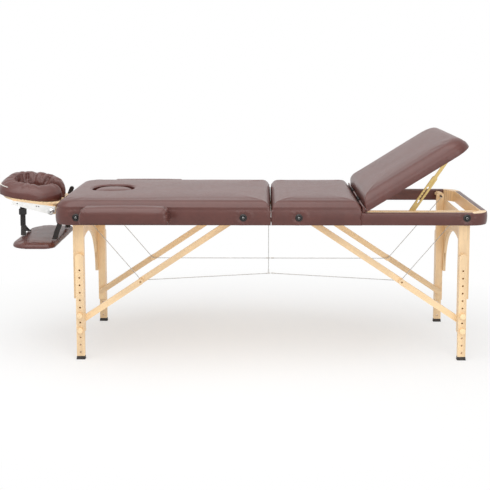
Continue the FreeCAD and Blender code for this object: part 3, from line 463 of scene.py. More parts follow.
def plywood_finish(name, axis, start, thickness, rotation=(0.0, 0.0, 0.0)):
    """Birch plywood: the glue lines between its layers show on every cut edge."""
    sheet = Finish(name)
    pale = finish_values().wood
    figure = sheet.noise(sheet.turned(rotation, (2.2, 13.0, 13.0)), 1.0, 3.0, 0.55, 1.6)
    fibre = sheet.noise(sheet.turned(rotation, (26.0, 560.0, 560.0)), 1.0, 2.0, 0.6)
    face = sheet.ramp(figure * 0.65 + fibre * 0.35, [
        (0.25, shade(pale, 0.84)), (0.5, pale), (0.75, shade(pale, 1.10))])
    along = sheet.node("ShaderNodeSeparateXYZ", {}, {"Vector": sheet.place()}, axis)
    turns = (along - start) * (2 * math.pi * PLY_COUNT / thickness) + math.pi / 2
    glue = (turns.sine() < -0.35) * 0.5
    sheet.set(Base_Color=sheet.mix(glue, face, shade(pale, 0.5)), Roughness=0.40 + fibre * 0.14)
    sheet.set(IOR=1.5, Coat_Weight=0.18, Coat_Roughness=0.2)
    sheet.bump(fibre, 0.08, 0.0008)
    return sheet.material


def zinc_finish(name):
    """Yellow passivated zinc with a faint cloud of green and rose."""
    metal = Finish(name)
    gold = tuple(finish_values().zinc)
    place = metal.place()
    cloud = metal.noise(place, 60.0, 3.0, 0.6, 0.6)
    scratch = metal.noise(metal.mapped((40.0, 900.0, 900.0)), 1.0, 2.0, 0.6)
    tone = metal.ramp(cloud, [
        (0.30, (gold[0] * 0.85, gold[1] * 0.98, gold[2] * 0.95)), (0.5, gold),
        (0.72, (min(1.0, gold[0] * 1.12), gold[1] * 0.92, gold[2] * 1.25))])
    metal.set(Base_Color=tone, Roughness=0.26 + scratch * 0.16)
    metal.set(Metallic=1.0)
    metal.bump(scratch, 0.06, 0.0005)
    return metal.material


def steel_finish(name, colour, rough=0.3):
    """Drawn or rolled steel with fine marks along X."""
    metal = Finish(name)
    marks = metal.noise(metal.mapped((60.0, 1400.0, 1400.0)), 1.0, 2.0, 0.6)
    cloud = metal.noise(metal.place(), 35.0, 3.0, 0.5)
    metal.set(Base_Color=metal.ramp(cloud, [(0.3, shade(colour, 0.82)), (0.7, shade(colour, 1.1))]),
              Roughness=rough + marks * 0.18)
    metal.set(Metallic=1.0)
    metal.bump(marks, 0.05, 0.0004)
    return metal.material


def painted_finish(name, colour, rough=0.42, grain=900.0, spread=(0.8, 1.9)):
    """Black powder coat or moulded plastic with a fine grain."""
    coat = Finish(name)
    place = coat.place()
    speck = coat.noise(place, grain, 2.0, 0.6)
    dust = coat.noise(place, 40.0, 4.0, 0.6)
    coat.set(Base_Color=coat.ramp(dust, [(0.35, shade(colour, spread[0])), (0.75, shade(colour, spread[1]))]),
             Roughness=rough + dust * 0.18)
    coat.set(IOR=1.48)
    coat.bump(speck, 0.16, 0.0006)
    return coat.material


def white_finish(name):
    """White powder coat of the cradle's arms."""
    return painted_finish(name, (0.86, 0.86, 0.84), 0.38, spread=(0.95, 1.05))


def cable_finish(name):
    """Bare steel rope: six strands wound round the core, read from the tube's own UV map."""
    rope = Finish(name)
    steel = tuple(finish_values().steel)
    across = rope.node("ShaderNodeTexCoord", output="UV")
    split = rope.node("ShaderNodeSeparateXYZ", {}, {"Vector": across}, "X")
    around = rope.node("ShaderNodeSeparateXYZ", {}, {"Vector": across}, "Y")
    lay = ((split / STRAND_LAY + around) * (2 * math.pi * STRAND_COUNT)).sine()
    wires = ((split / (STRAND_LAY * 0.3) - around) * (2 * math.pi * STRAND_COUNT * 3)).sine()
    groove = lay * 0.5 + 0.5
    # The grooves between the strands are painted dark and the crests a little lighter: painted shade and
    # highlight of the lay.
    rope.set(Base_Color=rope.mix(groove, shade(steel, 0.42), shade(steel, 1.08)),
             Roughness=0.30 + wires * 0.05 + (1 - groove) * 0.2)
    rope.set(Metallic=1.0)
    rope.bump(groove * 0.8 + wires * 0.12, 0.6, 0.0004)
    return rope.material


def webbing_finish(name):
    """Black woven strap: ribs along its UV length with a crossing weave."""
    strap = Finish(name)
    black = tuple(finish_values().black)
    source = strap.node("ShaderNodeTexCoord", output="UV")
    along = strap.node("ShaderNodeSeparateXYZ", {}, {"Vector": source}, "X")
    across = strap.node("ShaderNodeSeparateXYZ", {}, {"Vector": source}, "Y")
    warp = (across * (2 * math.pi / WEAVE_RIB)).sine()
    weft = (along * (2 * math.pi / WEAVE_PICK)).sine()
    weave = warp * weft * 0.5 + 0.5
    fuzz = strap.noise(strap.place(), 1500.0, 2.0, 0.7)
    # Raised threads of the weave are painted lighter and its dips darker: painted highlight and shade; the
    # fuzz is the yarn's own random tone.
    strap.set(Base_Color=strap.mix(weave * 0.6 + fuzz * 0.4, shade(black, 0.7), shade(black, 3.2)),
              Roughness=0.72 + weave * 0.15)
    strap.set(Sheen_Weight=0.15, Sheen_Roughness=0.5)
    strap.bump(weave, 0.5, 0.0006)
    return strap.material


def painted_highlight_piping_finish(name):
    """Off-white vinyl piping; the off-white stands for a painted highlight along the cushion's seam."""
    vinyl = Finish(name)
    place = vinyl.place()
    soil = vinyl.noise(place, 24.0, 4.0, 0.6)
    grain = vinyl.cells(place, 1200.0)
    vinyl.set(Base_Color=vinyl.ramp(soil, [(0.3, (0.60, 0.56, 0.50)), (0.7, (0.78, 0.75, 0.70))]),
              Roughness=0.40 + soil * 0.15)
    vinyl.bump(grain, 0.12, 0.0005)
    return vinyl.material


def leather():
    """The covers' leather."""
    return finish_named("brown_leather", leather_finish)


def black_paint():
    """Black coated steel and mouldings."""
    return finish_named("black_coat", lambda name: painted_finish(name, tuple(finish_values().black)))


def smooth(piece):
    """Shades every face of a piece smooth."""
    piece.data.polygons.foreach_set("use_smooth", [True] * len(piece.data.polygons))
    return piece


def add_piece(name, mesh, material=None, soft=True):
    """Links a mesh as a new object at the origin."""
    piece = bpy.data.objects.new(name, mesh)
    bpy.context.scene.collection.objects.link(piece)
    if material is not None:
        mesh.materials.clear()
        mesh.materials.append(material)
    return smooth(piece) if soft else piece


@contextmanager
def editing(mesh):
    """A mesh opened for editing, and written back afterwards."""
    shell = bmesh.new()
    shell.from_mesh(mesh)
    yield shell
    shell.to_mesh(mesh)
    shell.free()
    mesh.update()


def fitted(piece, body, slot, *nodes):
    """Hides the nodes that a piece stands for and hangs the piece on the body it rides on; its slot is not
    used.
    """
    for node in nodes:
        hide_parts(node)
    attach(piece, body)


def cushioned(piece, node, body):
    """Hides the node that a padded piece of leather stands for and hangs the piece on its body."""
    fitted(piece, body, "leather", node)


def mesh_from(name, points, faces):
    """A mesh with its normals turned outwards."""
    mesh = bpy.data.meshes.new(name)
    mesh.from_pydata([tuple(p) for p in points], [], faces)
    with editing(mesh) as shell:
        bmesh.ops.remove_doubles(shell, verts=shell.verts, dist=1e-6)
        bmesh.ops.recalc_face_normals(shell, faces=shell.faces)
    return mesh


def evaluated_mesh(piece):
    """The mesh of a piece after its modifiers."""
    bpy.context.view_layer.update()
    seen = piece.evaluated_get(bpy.context.evaluated_depsgraph_get())
    return bpy.data.meshes.new_from_object(seen)


def settle(piece):
    """Turns a piece's modifiers into plain mesh."""
    mesh = evaluated_mesh(piece)
    piece.modifiers.clear()
    old = piece.data
    piece.data = mesh
    bpy.data.meshes.remove(old)
    return piece


def merged_copy(node, name):
    """A copy of a CAD node's mesh with its loose triangles joined."""
    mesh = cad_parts[node].data.copy()
    with editing(mesh) as shell:
        bmesh.ops.remove_doubles(shell, verts=shell.verts, dist=1e-5)
    return add_piece(name, mesh, leather())


def place_list(mesh):
    """The vertex places of a mesh."""
    return [v.co.copy() for v in mesh.vertices]


def rounded_ring(x0, x1, y0, y1, z, a, b):
    """A level outline whose corners have radius a at x0 and b at x1."""
    ring = []
    for x, y, radius, start in ((x1 - b, y1 - b, b, 0.0), (x0 + a, y1 - a, a, 90.0),
                                (x0 + a, y0 + a, a, 180.0), (x1 - b, y0 + b, b, 270.0)):
        for k in range(CORNER_STEPS + 1):
            turn = math.radians(start + 90.0 * k / CORNER_STEPS)
            ring.append(Vector((x + radius * math.cos(turn), y + radius * math.sin(turn), z)))
    return ring


def band_faces(rings, sides):
    """The side faces of a tube through rings of points."""
    return [(a + k, a + (k + 1) % sides, a + sides + (k + 1) % sides, a + sides + k)
            for a in range(0, (rings - 1) * sides, sides) for k in range(sides)]


def stacked(name, rings):
    """A closed body through outlines that lie on top of one another."""
    count = len(rings[0])
    last = (len(rings) - 1) * count
    faces = [tuple(range(count)), *band_faces(len(rings), count), tuple(range(last, last + count))]
    return add_piece(name, mesh_from(name, [p for ring in rings for p in ring], faces), leather())


def loaf(name, span, low, waist, top, roll, crown, a, b, foot=None):
    """A padded body: upright up to its waist, rolled over its top edge and crowned.

    span is (x0, x1, y0, y1); a and b are the corner radii at x0 and x1, foot those below the waist."""
    x0, x1, y0, y1 = span
    half = min(x1 - x0, y1 - y0) / 2
    levels = [(low - ROOT_DEPTH, 0.0), (waist, 0.0)]
    for step in range(1, ROLL_STEPS + 1):
        turn = math.pi / 2 * step / ROLL_STEPS
        levels.append((waist + (top - waist) * math.sin(turn), roll * (1 - math.cos(turn))))
    for step in range(1, ROLL_STEPS + 1):
        share = step / ROLL_STEPS
        levels.append((top + crown * (1 - (1 - share) ** 2), roll + (0.7 * half - roll) * share))
    rings = []
    for level, (z, inset) in enumerate(levels):
        widest = HOLE_ROUND * (half - inset)
        radii = foot if foot and level < 2 else (a, b)
        corners = [min(max(radius - 0.5 * inset, 0.5 * radius), widest) for radius in radii]
        rings.append(rounded_ring(x0 + inset, x1 - inset, y0 + inset, y1 - inset, z, *corners))
    return stacked(name, rings)


def gridded(piece, voxel=None):
    """Remeshes a body into an even grid."""
    grid = piece.modifiers.new("grid", "REMESH")
    grid.mode = "VOXEL"
    grid.voxel_size = voxel or size_values().voxel
    return settle(piece)


def trimmed(piece, low, away=None):
    """Cuts a grid open below a level and takes away the faces for which away(middle, normal) is true."""
    with editing(piece.data) as shell:
        bmesh.ops.bisect_plane(shell, geom=shell.verts[:] + shell.edges[:] + shell.faces[:],
                               plane_co=(0.0, 0.0, low), plane_no=(0.0, 0.0, -1.0), clear_outer=True)
        if away is not None:
            shell.normal_update()
            lost = [f for f in shell.faces if away(f.calc_center_median(), f.normal)]
            bmesh.ops.delete(shell, geom=lost, context="FACES")
    return piece


def squared(piece, ends, wide, level):
    """Draws a skin out to the square corners of the board below it, at the given ends and below a level."""
    for vertex in piece.data.vertices:
        spot = vertex.co
        if spot.z > level or abs(spot.y) < wide - CORNER_REACH[0]:
            continue
        for x in ends:
            if abs(spot.x - x) < CORNER_REACH[1]:
                spot.y = math.copysign(wide, spot.y)
                if abs(spot.x - x) < CORNER_REACH[2]:
                    spot.x = x


def walled(piece, thickness):
    """Gives an open skin its thickness, inwards."""
    wall = piece.modifiers.new("wall", "SOLIDIFY")
    wall.thickness = thickness
    wall.offset = -1.0
    return smooth(settle(piece))


def swell(piece, inset, cap, give):
    """Lets cloth under pressure round a gridded pad, and caps how far each point moves.

    give(place, normal) is 1 where a point is free and 0 where it stays."""
    mesh = piece.data
    normals = [v.normal.copy() for v in mesh.vertices]
    shares = [give(v.co, n) for v, n in zip(mesh.vertices, normals)]
    for vertex, normal, share in zip(mesh.vertices, normals, shares):
        vertex.co -= normal * inset * share
    base = place_list(mesh)
    held = piece.vertex_groups.new(name="held")
    for index, share in enumerate(shares):
        if share < 1.0:
            held.add([index], 1.0 - share, "REPLACE")
    cloth = piece.modifiers.new("swell", "CLOTH")
    cloth.settings.quality = CLOTH_QUALITY
    cloth.settings.vertex_group_mass = "held"
    cloth.settings.use_pressure = True
    cloth.settings.uniform_pressure_force = CLOTH_PRESSURE
    cloth.settings.effector_weights.gravity = 0.0
    cloth.collision_settings.use_collision = False
    cloth.point_cache.frame_start = 1
    cloth.point_cache.frame_end = CLOTH_FRAMES
    for number in range(1, CLOTH_FRAMES + 1):
        bpy.context.scene.frame_set(number)
    settle(piece)
    piece.vertex_groups.clear()
    for vertex, place, share in zip(piece.data.vertices, base, shares):
        move = vertex.co - place
        if move.length > cap:
            move = move.normalized() * cap
        vertex.co = place + move * share
    bpy.context.scene.frame_set(1)
    return smooth(piece)


def wave(place, kind):
    """The height of a leather wave at a place."""
    pace, height = kind
    return noise.noise(place * (Vector(pace) if isinstance(pace, tuple) else pace)) * height


def ease(value):
    """A smooth step from 0 to 1."""
    value = min(1.0, max(0.0, value))
    return value * value * (3.0 - 2.0 * value)


def relax(piece, rounds, factor):
    """Evens out a mesh a little."""
    with editing(piece.data) as shell:
        for _ in range(rounds):
            bmesh.ops.smooth_vert(shell, verts=shell.verts, factor=factor, use_axis_x=True, use_axis_y=True,
                                  use_axis_z=True)


def push(piece, amount):
    """Moves every point of a piece along its normal by amount(place, normal)."""
    piece.data.update()
    normals = [v.normal.copy() for v in piece.data.vertices]
    for vertex, normal in zip(piece.data.vertices, normals):
        vertex.co += normal * amount(vertex.co, normal)
    piece.data.update()


def spline_points(points):
    """Points along the smooth NURBS line that has these control points."""
    curve = bpy.data.curves.new("route", "CURVE")
    curve.dimensions = "3D"
    curve.resolution_u = ROUTE_STEPS
    line = curve.splines.new("NURBS")
    line.points.add(len(points) - 1)
    for knot, place in zip(line.points, points):
        knot.co = (*place, 1.0)
    line.use_endpoint_u = True
    line.order_u = 3
    holder = bpy.data.objects.new("route", curve)
    bpy.context.scene.collection.objects.link(holder)
    mesh = evaluated_mesh(holder)
    found = place_list(mesh)
    bpy.data.objects.remove(holder)
    bpy.data.curves.remove(curve)
    bpy.data.meshes.remove(mesh)
    return found


def travel(points):
    """The length of a line of points."""
    return sum((b - a).length for a, b in zip(points, points[1:]))


def mapped_mesh(name, points, faces, place_on_map):
    """A mesh with a UV map from place_on_map(corner, face's corners), and outward normals."""
    mesh = bpy.data.meshes.new(name)
    mesh.from_pydata([tuple(p) for p in points], [], faces)
    layer = mesh.uv_layers.new(name="along")
    for face in mesh.polygons:
        corners = [mesh.loops[k].vertex_index for k in face.loop_indices]
        for k, corner in zip(face.loop_indices, corners):
            layer.data[k].uv = place_on_map(corner, corners)
    mesh.validate()
    with editing(mesh) as shell:
        bmesh.ops.recalc_face_normals(shell, faces=shell.faces)
    return mesh


def travelled(points):
    """How far each point lies along a line of points."""
    return [travel(points[:k + 1]) for k in range(len(points))]


def tube(name, points, radius, material, sides):
    """A round tube along points, with a UV map: metres along it, turns around it."""
    count = len(points)
    flat = []
    side = None
    for i, place in enumerate(points):
        way = (points[min(i + 1, count - 1)] - points[max(i - 1, 0)]).normalized()
        if side is None:
            side = way.orthogonal().normalized()
        side = (side - way * side.dot(way)).normalized()
        up = way.cross(side)
        flat += [place + (side * math.cos(t) + up * math.sin(t)) * radius
                 for t in (2 * math.pi * k / sides for k in range(sides))]
    last = (count - 1) * sides
    faces = [*band_faces(count, sides), tuple(range(sides))[::-1], tuple(range(last, last + sides))]
    reach = travelled(points)

    def around(corner, corners):
        turn = corner % sides
        wraps = turn == 0 and {c % sides for c in corners} == {0, sides - 1}
        return reach[corner // sides], 1.0 if wraps else turn / sides

    return add_piece(name, mapped_mesh(name, flat, faces, around), material)


def strap_band(name, points, material):
    """A flat strap along points, its width along X, with a UV map in metres."""
    across = Vector((1.0, 0.0, 0.0))
    count, sides = len(points), len(STRAP_SECTION)
    flat = []
    for i, place in enumerate(points):
        way = (points[min(i + 1, count - 1)] - points[max(i - 1, 0)]).normalized()
        face = way.cross(across).normalized()
        flat += [place + across * (u * STRAP_WIDTH / 2) + face * (v * STRAP_THICKNESS / 2)
                 for u, v in STRAP_SECTION]
    last = (count - 1) * sides
    faces = [*band_faces(count, sides), tuple(range(sides)), tuple(range(last, last + sides))]
    reach = travelled(points)

    def flat_map(corner, corners):
        return reach[corner // sides], (STRAP_SECTION[corner % sides][0] + 1) / 2 * STRAP_WIDTH

    return add_piece(name, mapped_mesh(name, flat, faces, flat_map), material, soft=False)


def joined(name, pieces):
    """Several mesh pieces as one object; the parts keep their finishes and UV maps."""
    first = pieces[0]
    with bpy.context.temp_override(active_object=first, object=first, selected_objects=pieces,
                                   selected_editable_objects=pieces):
        bpy.ops.object.join()
    first.name = name
    return first


def screw_tree():
    """Geometry Nodes: a domed screw head on each point, facing its own way, with its socket coloured dark as
    painted shade.
    """
    tree = bpy.data.node_groups.get("screw_heads")
    if tree:
        return tree
    tree = bpy.data.node_groups.new("screw_heads", "GeometryNodeTree")
    tree.is_modifier = True
    for name, kind in (("Geometry", "Geometry"), ("Radius", "Float"), ("Height", "Float"),
                       ("Head", "Material"), ("Socket", "Material")):
        tree.interface.new_socket(name, in_out="INPUT", socket_type=f"NodeSocket{kind}")
    tree.interface.new_socket("Geometry", in_out="OUTPUT", socket_type="NodeSocketGeometry")
    given = tree.nodes.new("NodeGroupInput").outputs
    link = tree.links.new

    def step(kind, **feeds):
        node = tree.nodes.new(kind)
        for key, socket in feeds.items():
            link(socket, node.inputs[key.replace("_", " ")])
        return node

    def part(name, share):
        """A share of one of the tree's own inputs."""
        node = tree.nodes.new("ShaderNodeMath")
        node.operation = "MULTIPLY"
        link(given[name], node.inputs[0])
        node.inputs[1].default_value = share
        return node.outputs[0]

    facing = tree.nodes.new("GeometryNodeInputNamedAttribute")
    facing.data_type = "FLOAT_VECTOR"
    facing.inputs["Name"].default_value = "facing"
    aim = step("FunctionNodeAlignRotationToVector", Vector=facing.outputs["Attribute"])
    aim.axis = "Z"
    layers = tree.nodes.new("GeometryNodeJoinGeometry")
    for bottom, top, rise, base, paint, sides in SCREW_LAYERS:
        cone = step("GeometryNodeMeshCone", Radius_Bottom=part("Radius", bottom),
                    Radius_Top=part("Radius", top), Depth=part("Height", rise))
        cone.inputs["Vertices"].default_value = sides
        lift = step("ShaderNodeCombineXYZ", Z=part("Height", base))
        moved = step("GeometryNodeTransform", Geometry=cone.outputs["Mesh"],
                     Translation=lift.outputs["Vector"])
        painted = step("GeometryNodeSetMaterial", Geometry=moved.outputs["Geometry"],
                       Material=given[paint])
        link(painted.outputs["Geometry"], layers.inputs["Geometry"])
    spread = step("GeometryNodeInstanceOnPoints", Points=given["Geometry"],
                  Instance=layers.outputs["Geometry"], Rotation=aim.outputs["Rotation"])
    real = step("GeometryNodeRealizeInstances", Geometry=spread.outputs["Instances"])
    step("NodeGroupOutput", Geometry=real.outputs["Geometry"])
    return tree


def run_tree(piece, tree, values):
    """Runs a Geometry Nodes tree on a piece with these named inputs and keeps the plain mesh."""
    step = piece.modifiers.new(tree.name, "NODES")
    step.node_group = tree
    keys = {item.name: item.identifier for item in tree.interface.items_tree
            if item.item_type == "SOCKET" and item.in_out == "INPUT"}
    for name, value in values.items():
        step[keys[name]] = value
    return settle(piece)


def screw_set(name, spots, body, radius, height, head, slot):
    """Screw heads at (place, direction) spots, riding on a body."""
    mesh = bpy.data.meshes.new(name)
    mesh.from_pydata([tuple(place) for place, way in spots], [], [])
    facing = mesh.attributes.new("facing", "FLOAT_VECTOR", "POINT")
    for item, (place, way) in zip(facing.data, spots):
        item.vector = way
    piece = add_piece(name, mesh, soft=False)
    # The socket is black: painted shade in the recess of each screw head.
    run_tree(piece, screw_tree(), {"Radius": radius, "Height": height, "Head": head, "Socket": black_paint()})
    fitted(piece, body, slot)


def row(x, y, z):
    """A point given in millimetres from the fold line, in the table's frame."""
    return Vector((FOLD_X + x / 1000, y / 1000, z / 1000))


class TABLE_OT_stage(bpy.types.Operator):
    """Camera, lamps, white room and floor"""

    bl_idname = "table.stage"
    bl_label = "Stage"

    def execute(self, context):
        values = stage_values()
        scene = context.scene
        scene.view_settings.view_transform = "Standard"
        lens = bpy.data.cameras.new("photo_camera")
        lens.sensor_width = 36.0
        lens.lens = values.focal_pixels / IMAGE_PIXELS * lens.sensor_width
        lens.shift_x = values.shift_x
        lens.shift_y = values.shift_y
        camera = bpy.data.objects.new("photo_camera", lens)
        scene.collection.objects.link(camera)
        camera.location = Vector(values.camera_place) + Vector((FOLD_X, 0.0, 0.0))
        camera.rotation_euler = Euler((math.pi / 2 - values.camera_pitch, 0.0, values.camera_yaw))
        scene.camera = camera
        self.lamp("key_lamp", *KEY_LAMP, values.key_power)
        self.lamp("fill_lamp", *FILL_LAMP, values.fill_power)
        self.room(values.sky)
        self.floor()
        return {"FINISHED"}

    @staticmethod
    def lamp(name, place, target, size, power):
        """A square soft lamp that faces a point."""
        light = bpy.data.lights.new(name, "AREA")
        light.size = size
        light.energy = power
        holder = bpy.data.objects.new(name, light)
        bpy.context.scene.collection.objects.link(holder)
        holder.location = place
        holder.rotation_euler = (Vector(target) - Vector(place)).to_track_quat("-Z", "Y").to_euler()

    @staticmethod
    def room(strength):
        """An even white room that cameras and gloss see as plain white."""
        world = bpy.data.worlds.new("white_room")
        world.use_nodes = True
        bpy.context.scene.world = world
        tree = world.node_tree
        light = tree.nodes["Background"]
        light.inputs["Color"].default_value = (1.0, 1.0, 1.0, 1.0)
        light.inputs["Strength"].default_value = strength
        seen = tree.nodes.new("ShaderNodeBackground")
        seen.inputs["Color"].default_value = (1.0, 1.0, 1.0, 1.0)
        seen.inputs["Strength"].default_value = 1.0
        mixed = tree.nodes.new("ShaderNodeMixShader")
        tree.links.new(plain_ray(tree).socket, mixed.inputs[0])
        tree.links.new(light.outputs[0], mixed.inputs[1])
        tree.links.new(seen.outputs[0], mixed.inputs[2])
        tree.links.new(mixed.outputs[0], tree.nodes["World Output"].inputs["Surface"])

    @staticmethod
    def floor():
        """A pale floor that keeps the table's shadow and runs out into white."""
        half = FLOOR_SIZE / 2
        mesh = mesh_from("studio_floor", [(-half, -half, 0), (half, -half, 0), (half, half, 0),
                                          (-half, half, 0)], [(0, 1, 2, 3)])
        paint = Finish("floor_white")
        paint.set(Base_Color=(0.86, 0.86, 0.86), Roughness=0.9, Specular_IOR_Level=0.1)
        glow = paint.tree.nodes.new("ShaderNodeEmission")
        mixed = paint.tree.nodes.new("ShaderNodeMixShader")
        reach = paint.node("ShaderNodeVectorMath", {"operation": "LENGTH"},
                           {0: paint.mapped((0.55, 0.9, 1.0))}, "Value")
        fade = paint.node("ShaderNodeMapRange", {}, {
            "Value": reach, "From Min": FLOOR_FADE[0], "From Max": FLOOR_FADE[1],
            "To Min": FLOOR_GLOW, "To Max": 1.0})
        feed(mixed.inputs[0], plain_ray(paint.tree) * fade)
        paint.tree.links.new(paint.surface.outputs[0], mixed.inputs[1])
        paint.tree.links.new(glow.outputs[0], mixed.inputs[2])
        paint.tree.links.new(mixed.outputs[0], paint.tree.nodes["Material Output"].inputs["Surface"])
        add_piece("studio_floor", mesh, paint.material, soft=False)


def plain_ray(tree):
    """1 for rays from the camera, from gloss and through glass, else 0."""
    path = tree.nodes.new("ShaderNodeLightPath")
    total = Wire(path.outputs["Is Camera Ray"]) + Wire(path.outputs["Is Glossy Ray"])
    total = total + Wire(path.outputs["Is Transmission Ray"])
    total.socket.node.use_clamp = True
    return total


class TABLE_OT_cables(bpy.types.Operator):
    """Steel bracing cables from the leg pivots over the brace joints to the fold"""

    bl_idname = "table.cables"
    bl_label = "Cables"

    def execute(self, context):
        rope = finish_named("steel_rope", cable_finish)
        diameter = size_values().cable_diameter
        for half, sign, body in (("head", -1, "head_half"), ("foot", 1, "seat_half")):
            for side, y, rise in (("near", -CABLE_Y, CABLE_RISE), ("far", CABLE_Y, 0.0)):
                points = self.route(sign, y, rise, CABLE_BEND * diameter)
                self.cord(f"{half}_{side}_cable", points, body, rope, f"{half}_cables", diameter)
        slope = CABLE_RISE / (BRACE_JOINT[0] - CABLE_END)
        foot = BRACE_JOINT[1] + CABLE_RISE - slope * (CABLE_HANGER - CABLE_END)
        points = [row(-CABLE_HANGER, -CABLE_Y, RAIL_LOW.z * 1000 - 0.3),
                  row(-CABLE_HANGER, -CABLE_Y, (foot + RAIL_LOW.z * 1000) / 2),
                  row(-CABLE_HANGER, -CABLE_Y, foot)]
        self.cord("cable_hanger", points, "head_half", rope, "head_cables", diameter)
        return {"FINISHED"}

    @staticmethod
    def route(sign, y, rise, near):
        """Leg pivot, a point each side of the brace joint, and the fold."""
        top = Vector((sign * LEG_PIVOT[0], y, LEG_PIVOT[1]))
        joint = Vector((sign * BRACE_JOINT[0], y, BRACE_JOINT[1]))
        end = Vector((sign * CABLE_END, y, BRACE_JOINT[1] + rise))
        before = joint + (top - joint).normalized() * near
        after = joint + (end - joint).normalized() * near
        return [row(*p) for p in (top, before, joint, after, end)]

    @staticmethod
    def cord(name, points, body, rope, node, diameter):
        """One cable with its pressed sleeve."""
        line = spline_points(points)
        cable = tube(name, line, diameter / 2, rope, CABLE_SIDES)
        way = (line[-1] - line[-2]).normalized()
        metal = finish_named("sleeve_steel", lambda n: steel_finish(n, tuple(finish_values().steel)))
        sleeve_line = [line[-1] - way * d for d in SLEEVE_STEPS]
        sleeve = tube(f"{name}_sleeve", sleeve_line, diameter * SLEEVE_RADIUS, metal, SLEEVE_SIDES)
        for piece in (cable, sleeve):
            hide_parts(node)
            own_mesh(piece)
            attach(piece, body)
        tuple(line[0])
        travel(line)


class TABLE_OT_wood_and_metal(bpy.types.Operator):
    """Finishes of the wooden frame, the legs and the metal fittings"""

    bl_idname = "table.wood_and_metal"
    bl_label = "Wood and metal"

    def execute(self, context):
        steel = tuple(finish_values().steel)
        along_y = (0.0, 0.0, -math.pi / 2)
        along_z = (0.0, math.pi / 2, 0.0)
        arch_low, arch_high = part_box("foot_arch_panel")
        head_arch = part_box("head_arch_panel")[0]
        deck_low, deck_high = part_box("head_deck")
        panel = arch_high.x - arch_low.x
        black = tuple(finish_values().black)
        legs = [f"{end}_{side}" for end in ("head", "foot") for side in ("far", "near")]
        finishes = {
            "birch_rail": (wood_finish, ["head_side_rails", "seat_side_rails", "far_armrest_board",
                                         "near_armrest_board"]),
            "birch_crosspiece": (lambda n: wood_finish(n, along_y),
                                 ["head_cross_rails", "seat_cross_rails", "head_corner_blocks",
                                  "foot_corner_blocks", "cradle_base"]),
            "birch_upright": (lambda n: wood_finish(n, along_z),
                              ["head_legs", "foot_legs", *(f"{leg}_extension" for leg in legs)]),
            "birch_foot_brace": (lambda n: wood_finish(n, (0.0, -BRACE_ANGLE, 0.0)),
                                 ["foot_lower_braces", "foot_upper_braces"]),
            "birch_head_brace": (lambda n: wood_finish(n, (0.0, BRACE_ANGLE, 0.0)),
                                 ["head_lower_braces", "head_upper_braces"]),
            # The knobs are made 8% lighter than the rest of the wood: a painted highlight.
            "birch_knob": (lambda n: wood_finish(n, along_z, 1.08),
                           [f"{leg}_{level}_knob" for leg in legs for level in ("lower", "upper")]),
            "ply_foot_arch": (lambda n: plywood_finish(n, "X", arch_low.x, panel, along_y),
                              ["foot_arch_panel"]),
            "ply_head_arch": (lambda n: plywood_finish(n, "X", head_arch.x, panel, along_y),
                              ["head_arch_panel"]),
            "ply_deck": (lambda n: plywood_finish(n, "Z", deck_low.z, deck_high.z - deck_low.z),
                         ["head_deck", "seat_deck", "backrest_board"]),
            "ply_cradle": (lambda n: plywood_finish(n, "Z", 0.6, PLATFORM_DEPTH, along_y),
                           ["cradle_platform"]),
            "rubber_foot": (lambda n: painted_finish(n, (0.03, 0.026, 0.024), 0.6, 500.0),
                            [f"{leg}_foot_cap" for leg in legs]),
            "yellow_zinc": (zinc_finish, ["strut_channels", "strut_bars"]),
            "hinge_steel": (lambda n: steel_finish(n, steel),
                            ["head_hinge_leaves", "seat_hinge_leaves", "centre_hinge_pins", "cradle_axle"]),
            # The hinge and strut fittings are coloured near-black: painted shade, so they sink into the dark
            # gap between the pads.
            "dark_steel": (lambda n: painted_finish(n, (0.022, 0.019, 0.018), 0.62),
                           ["backrest_fittings", "seat_fittings"]),
            "black_coat": (lambda n: painted_finish(n, black), ["head_pivot_bolts", "foot_pivot_bolts"]),
            "black_moulding": (lambda n: painted_finish(n, black, 0.3, 1400.0),
                               ["cam_lever", "strap_buckle"]),
        }
        for name, (make, nodes) in finishes.items():
            for node in nodes:
                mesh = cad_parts[node].data
                mesh.materials.clear()
                mesh.materials.append(finish_named(name, make))
        self.white_arms()
        self.screws(steel)
        return {"FINISHED"}

    @staticmethod
    def white_arms():
        """White paint on the arms under the cradle's board."""
        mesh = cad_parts["cradle_platform"].data
        mesh.materials.append(finish_named("white_coat", white_finish))
        for face in mesh.polygons:
            if cradle_local(face.center).z < PLATFORM_TOP - PLATFORM_DEPTH - 0.0004:
                face.material_index = 1

    @staticmethod
    def screws(colour):
        """Bolt heads in the cup washers, the cradle's clamp, and dark screws in the cradle's arms."""
        bright = finish_named("clamp_steel", lambda n: steel_finish(n, colour, 0.2))
        dull = finish_named("bolt_steel", lambda n: steel_finish(n, shade(colour, 0.35), 0.3))
        for name, sign, body in (("head_bolt_heads", -1, "head_half"), ("foot_bolt_heads", 1, "seat_half")):
            spots = [(Vector((FOLD_X + x, side * (RAIL_FACE + 0.0050), BOLT_Z)), Vector((0, side, 0)))
                     for x in BOLT_PLACES if x * sign > 0 for side in (-1, 1)]
            screw_set(name, spots, body, 0.0062, 0.0050, dull, "steel")
        axle = Vector((FOLD_X + CRADLE_AXLE[0], CLAMP_FACE, CRADLE_AXLE[1]))
        screw_set("clamp_head", [(axle, Vector((0, -1, 0)))], "cradle_head", 0.0085, 0.004, bright, "steel")
        spots = [(cradle_place(Vector((x, side * ARM_FACE, PLATFORM_TOP - 0.019))), Vector((0, side, 0)))
                 for x in ARM_SCREWS for side in (-1, 1)]
        screw_set("arm_screws", spots, "cradle_head", 0.0026, 0.0012, black_paint(), "black_steel")


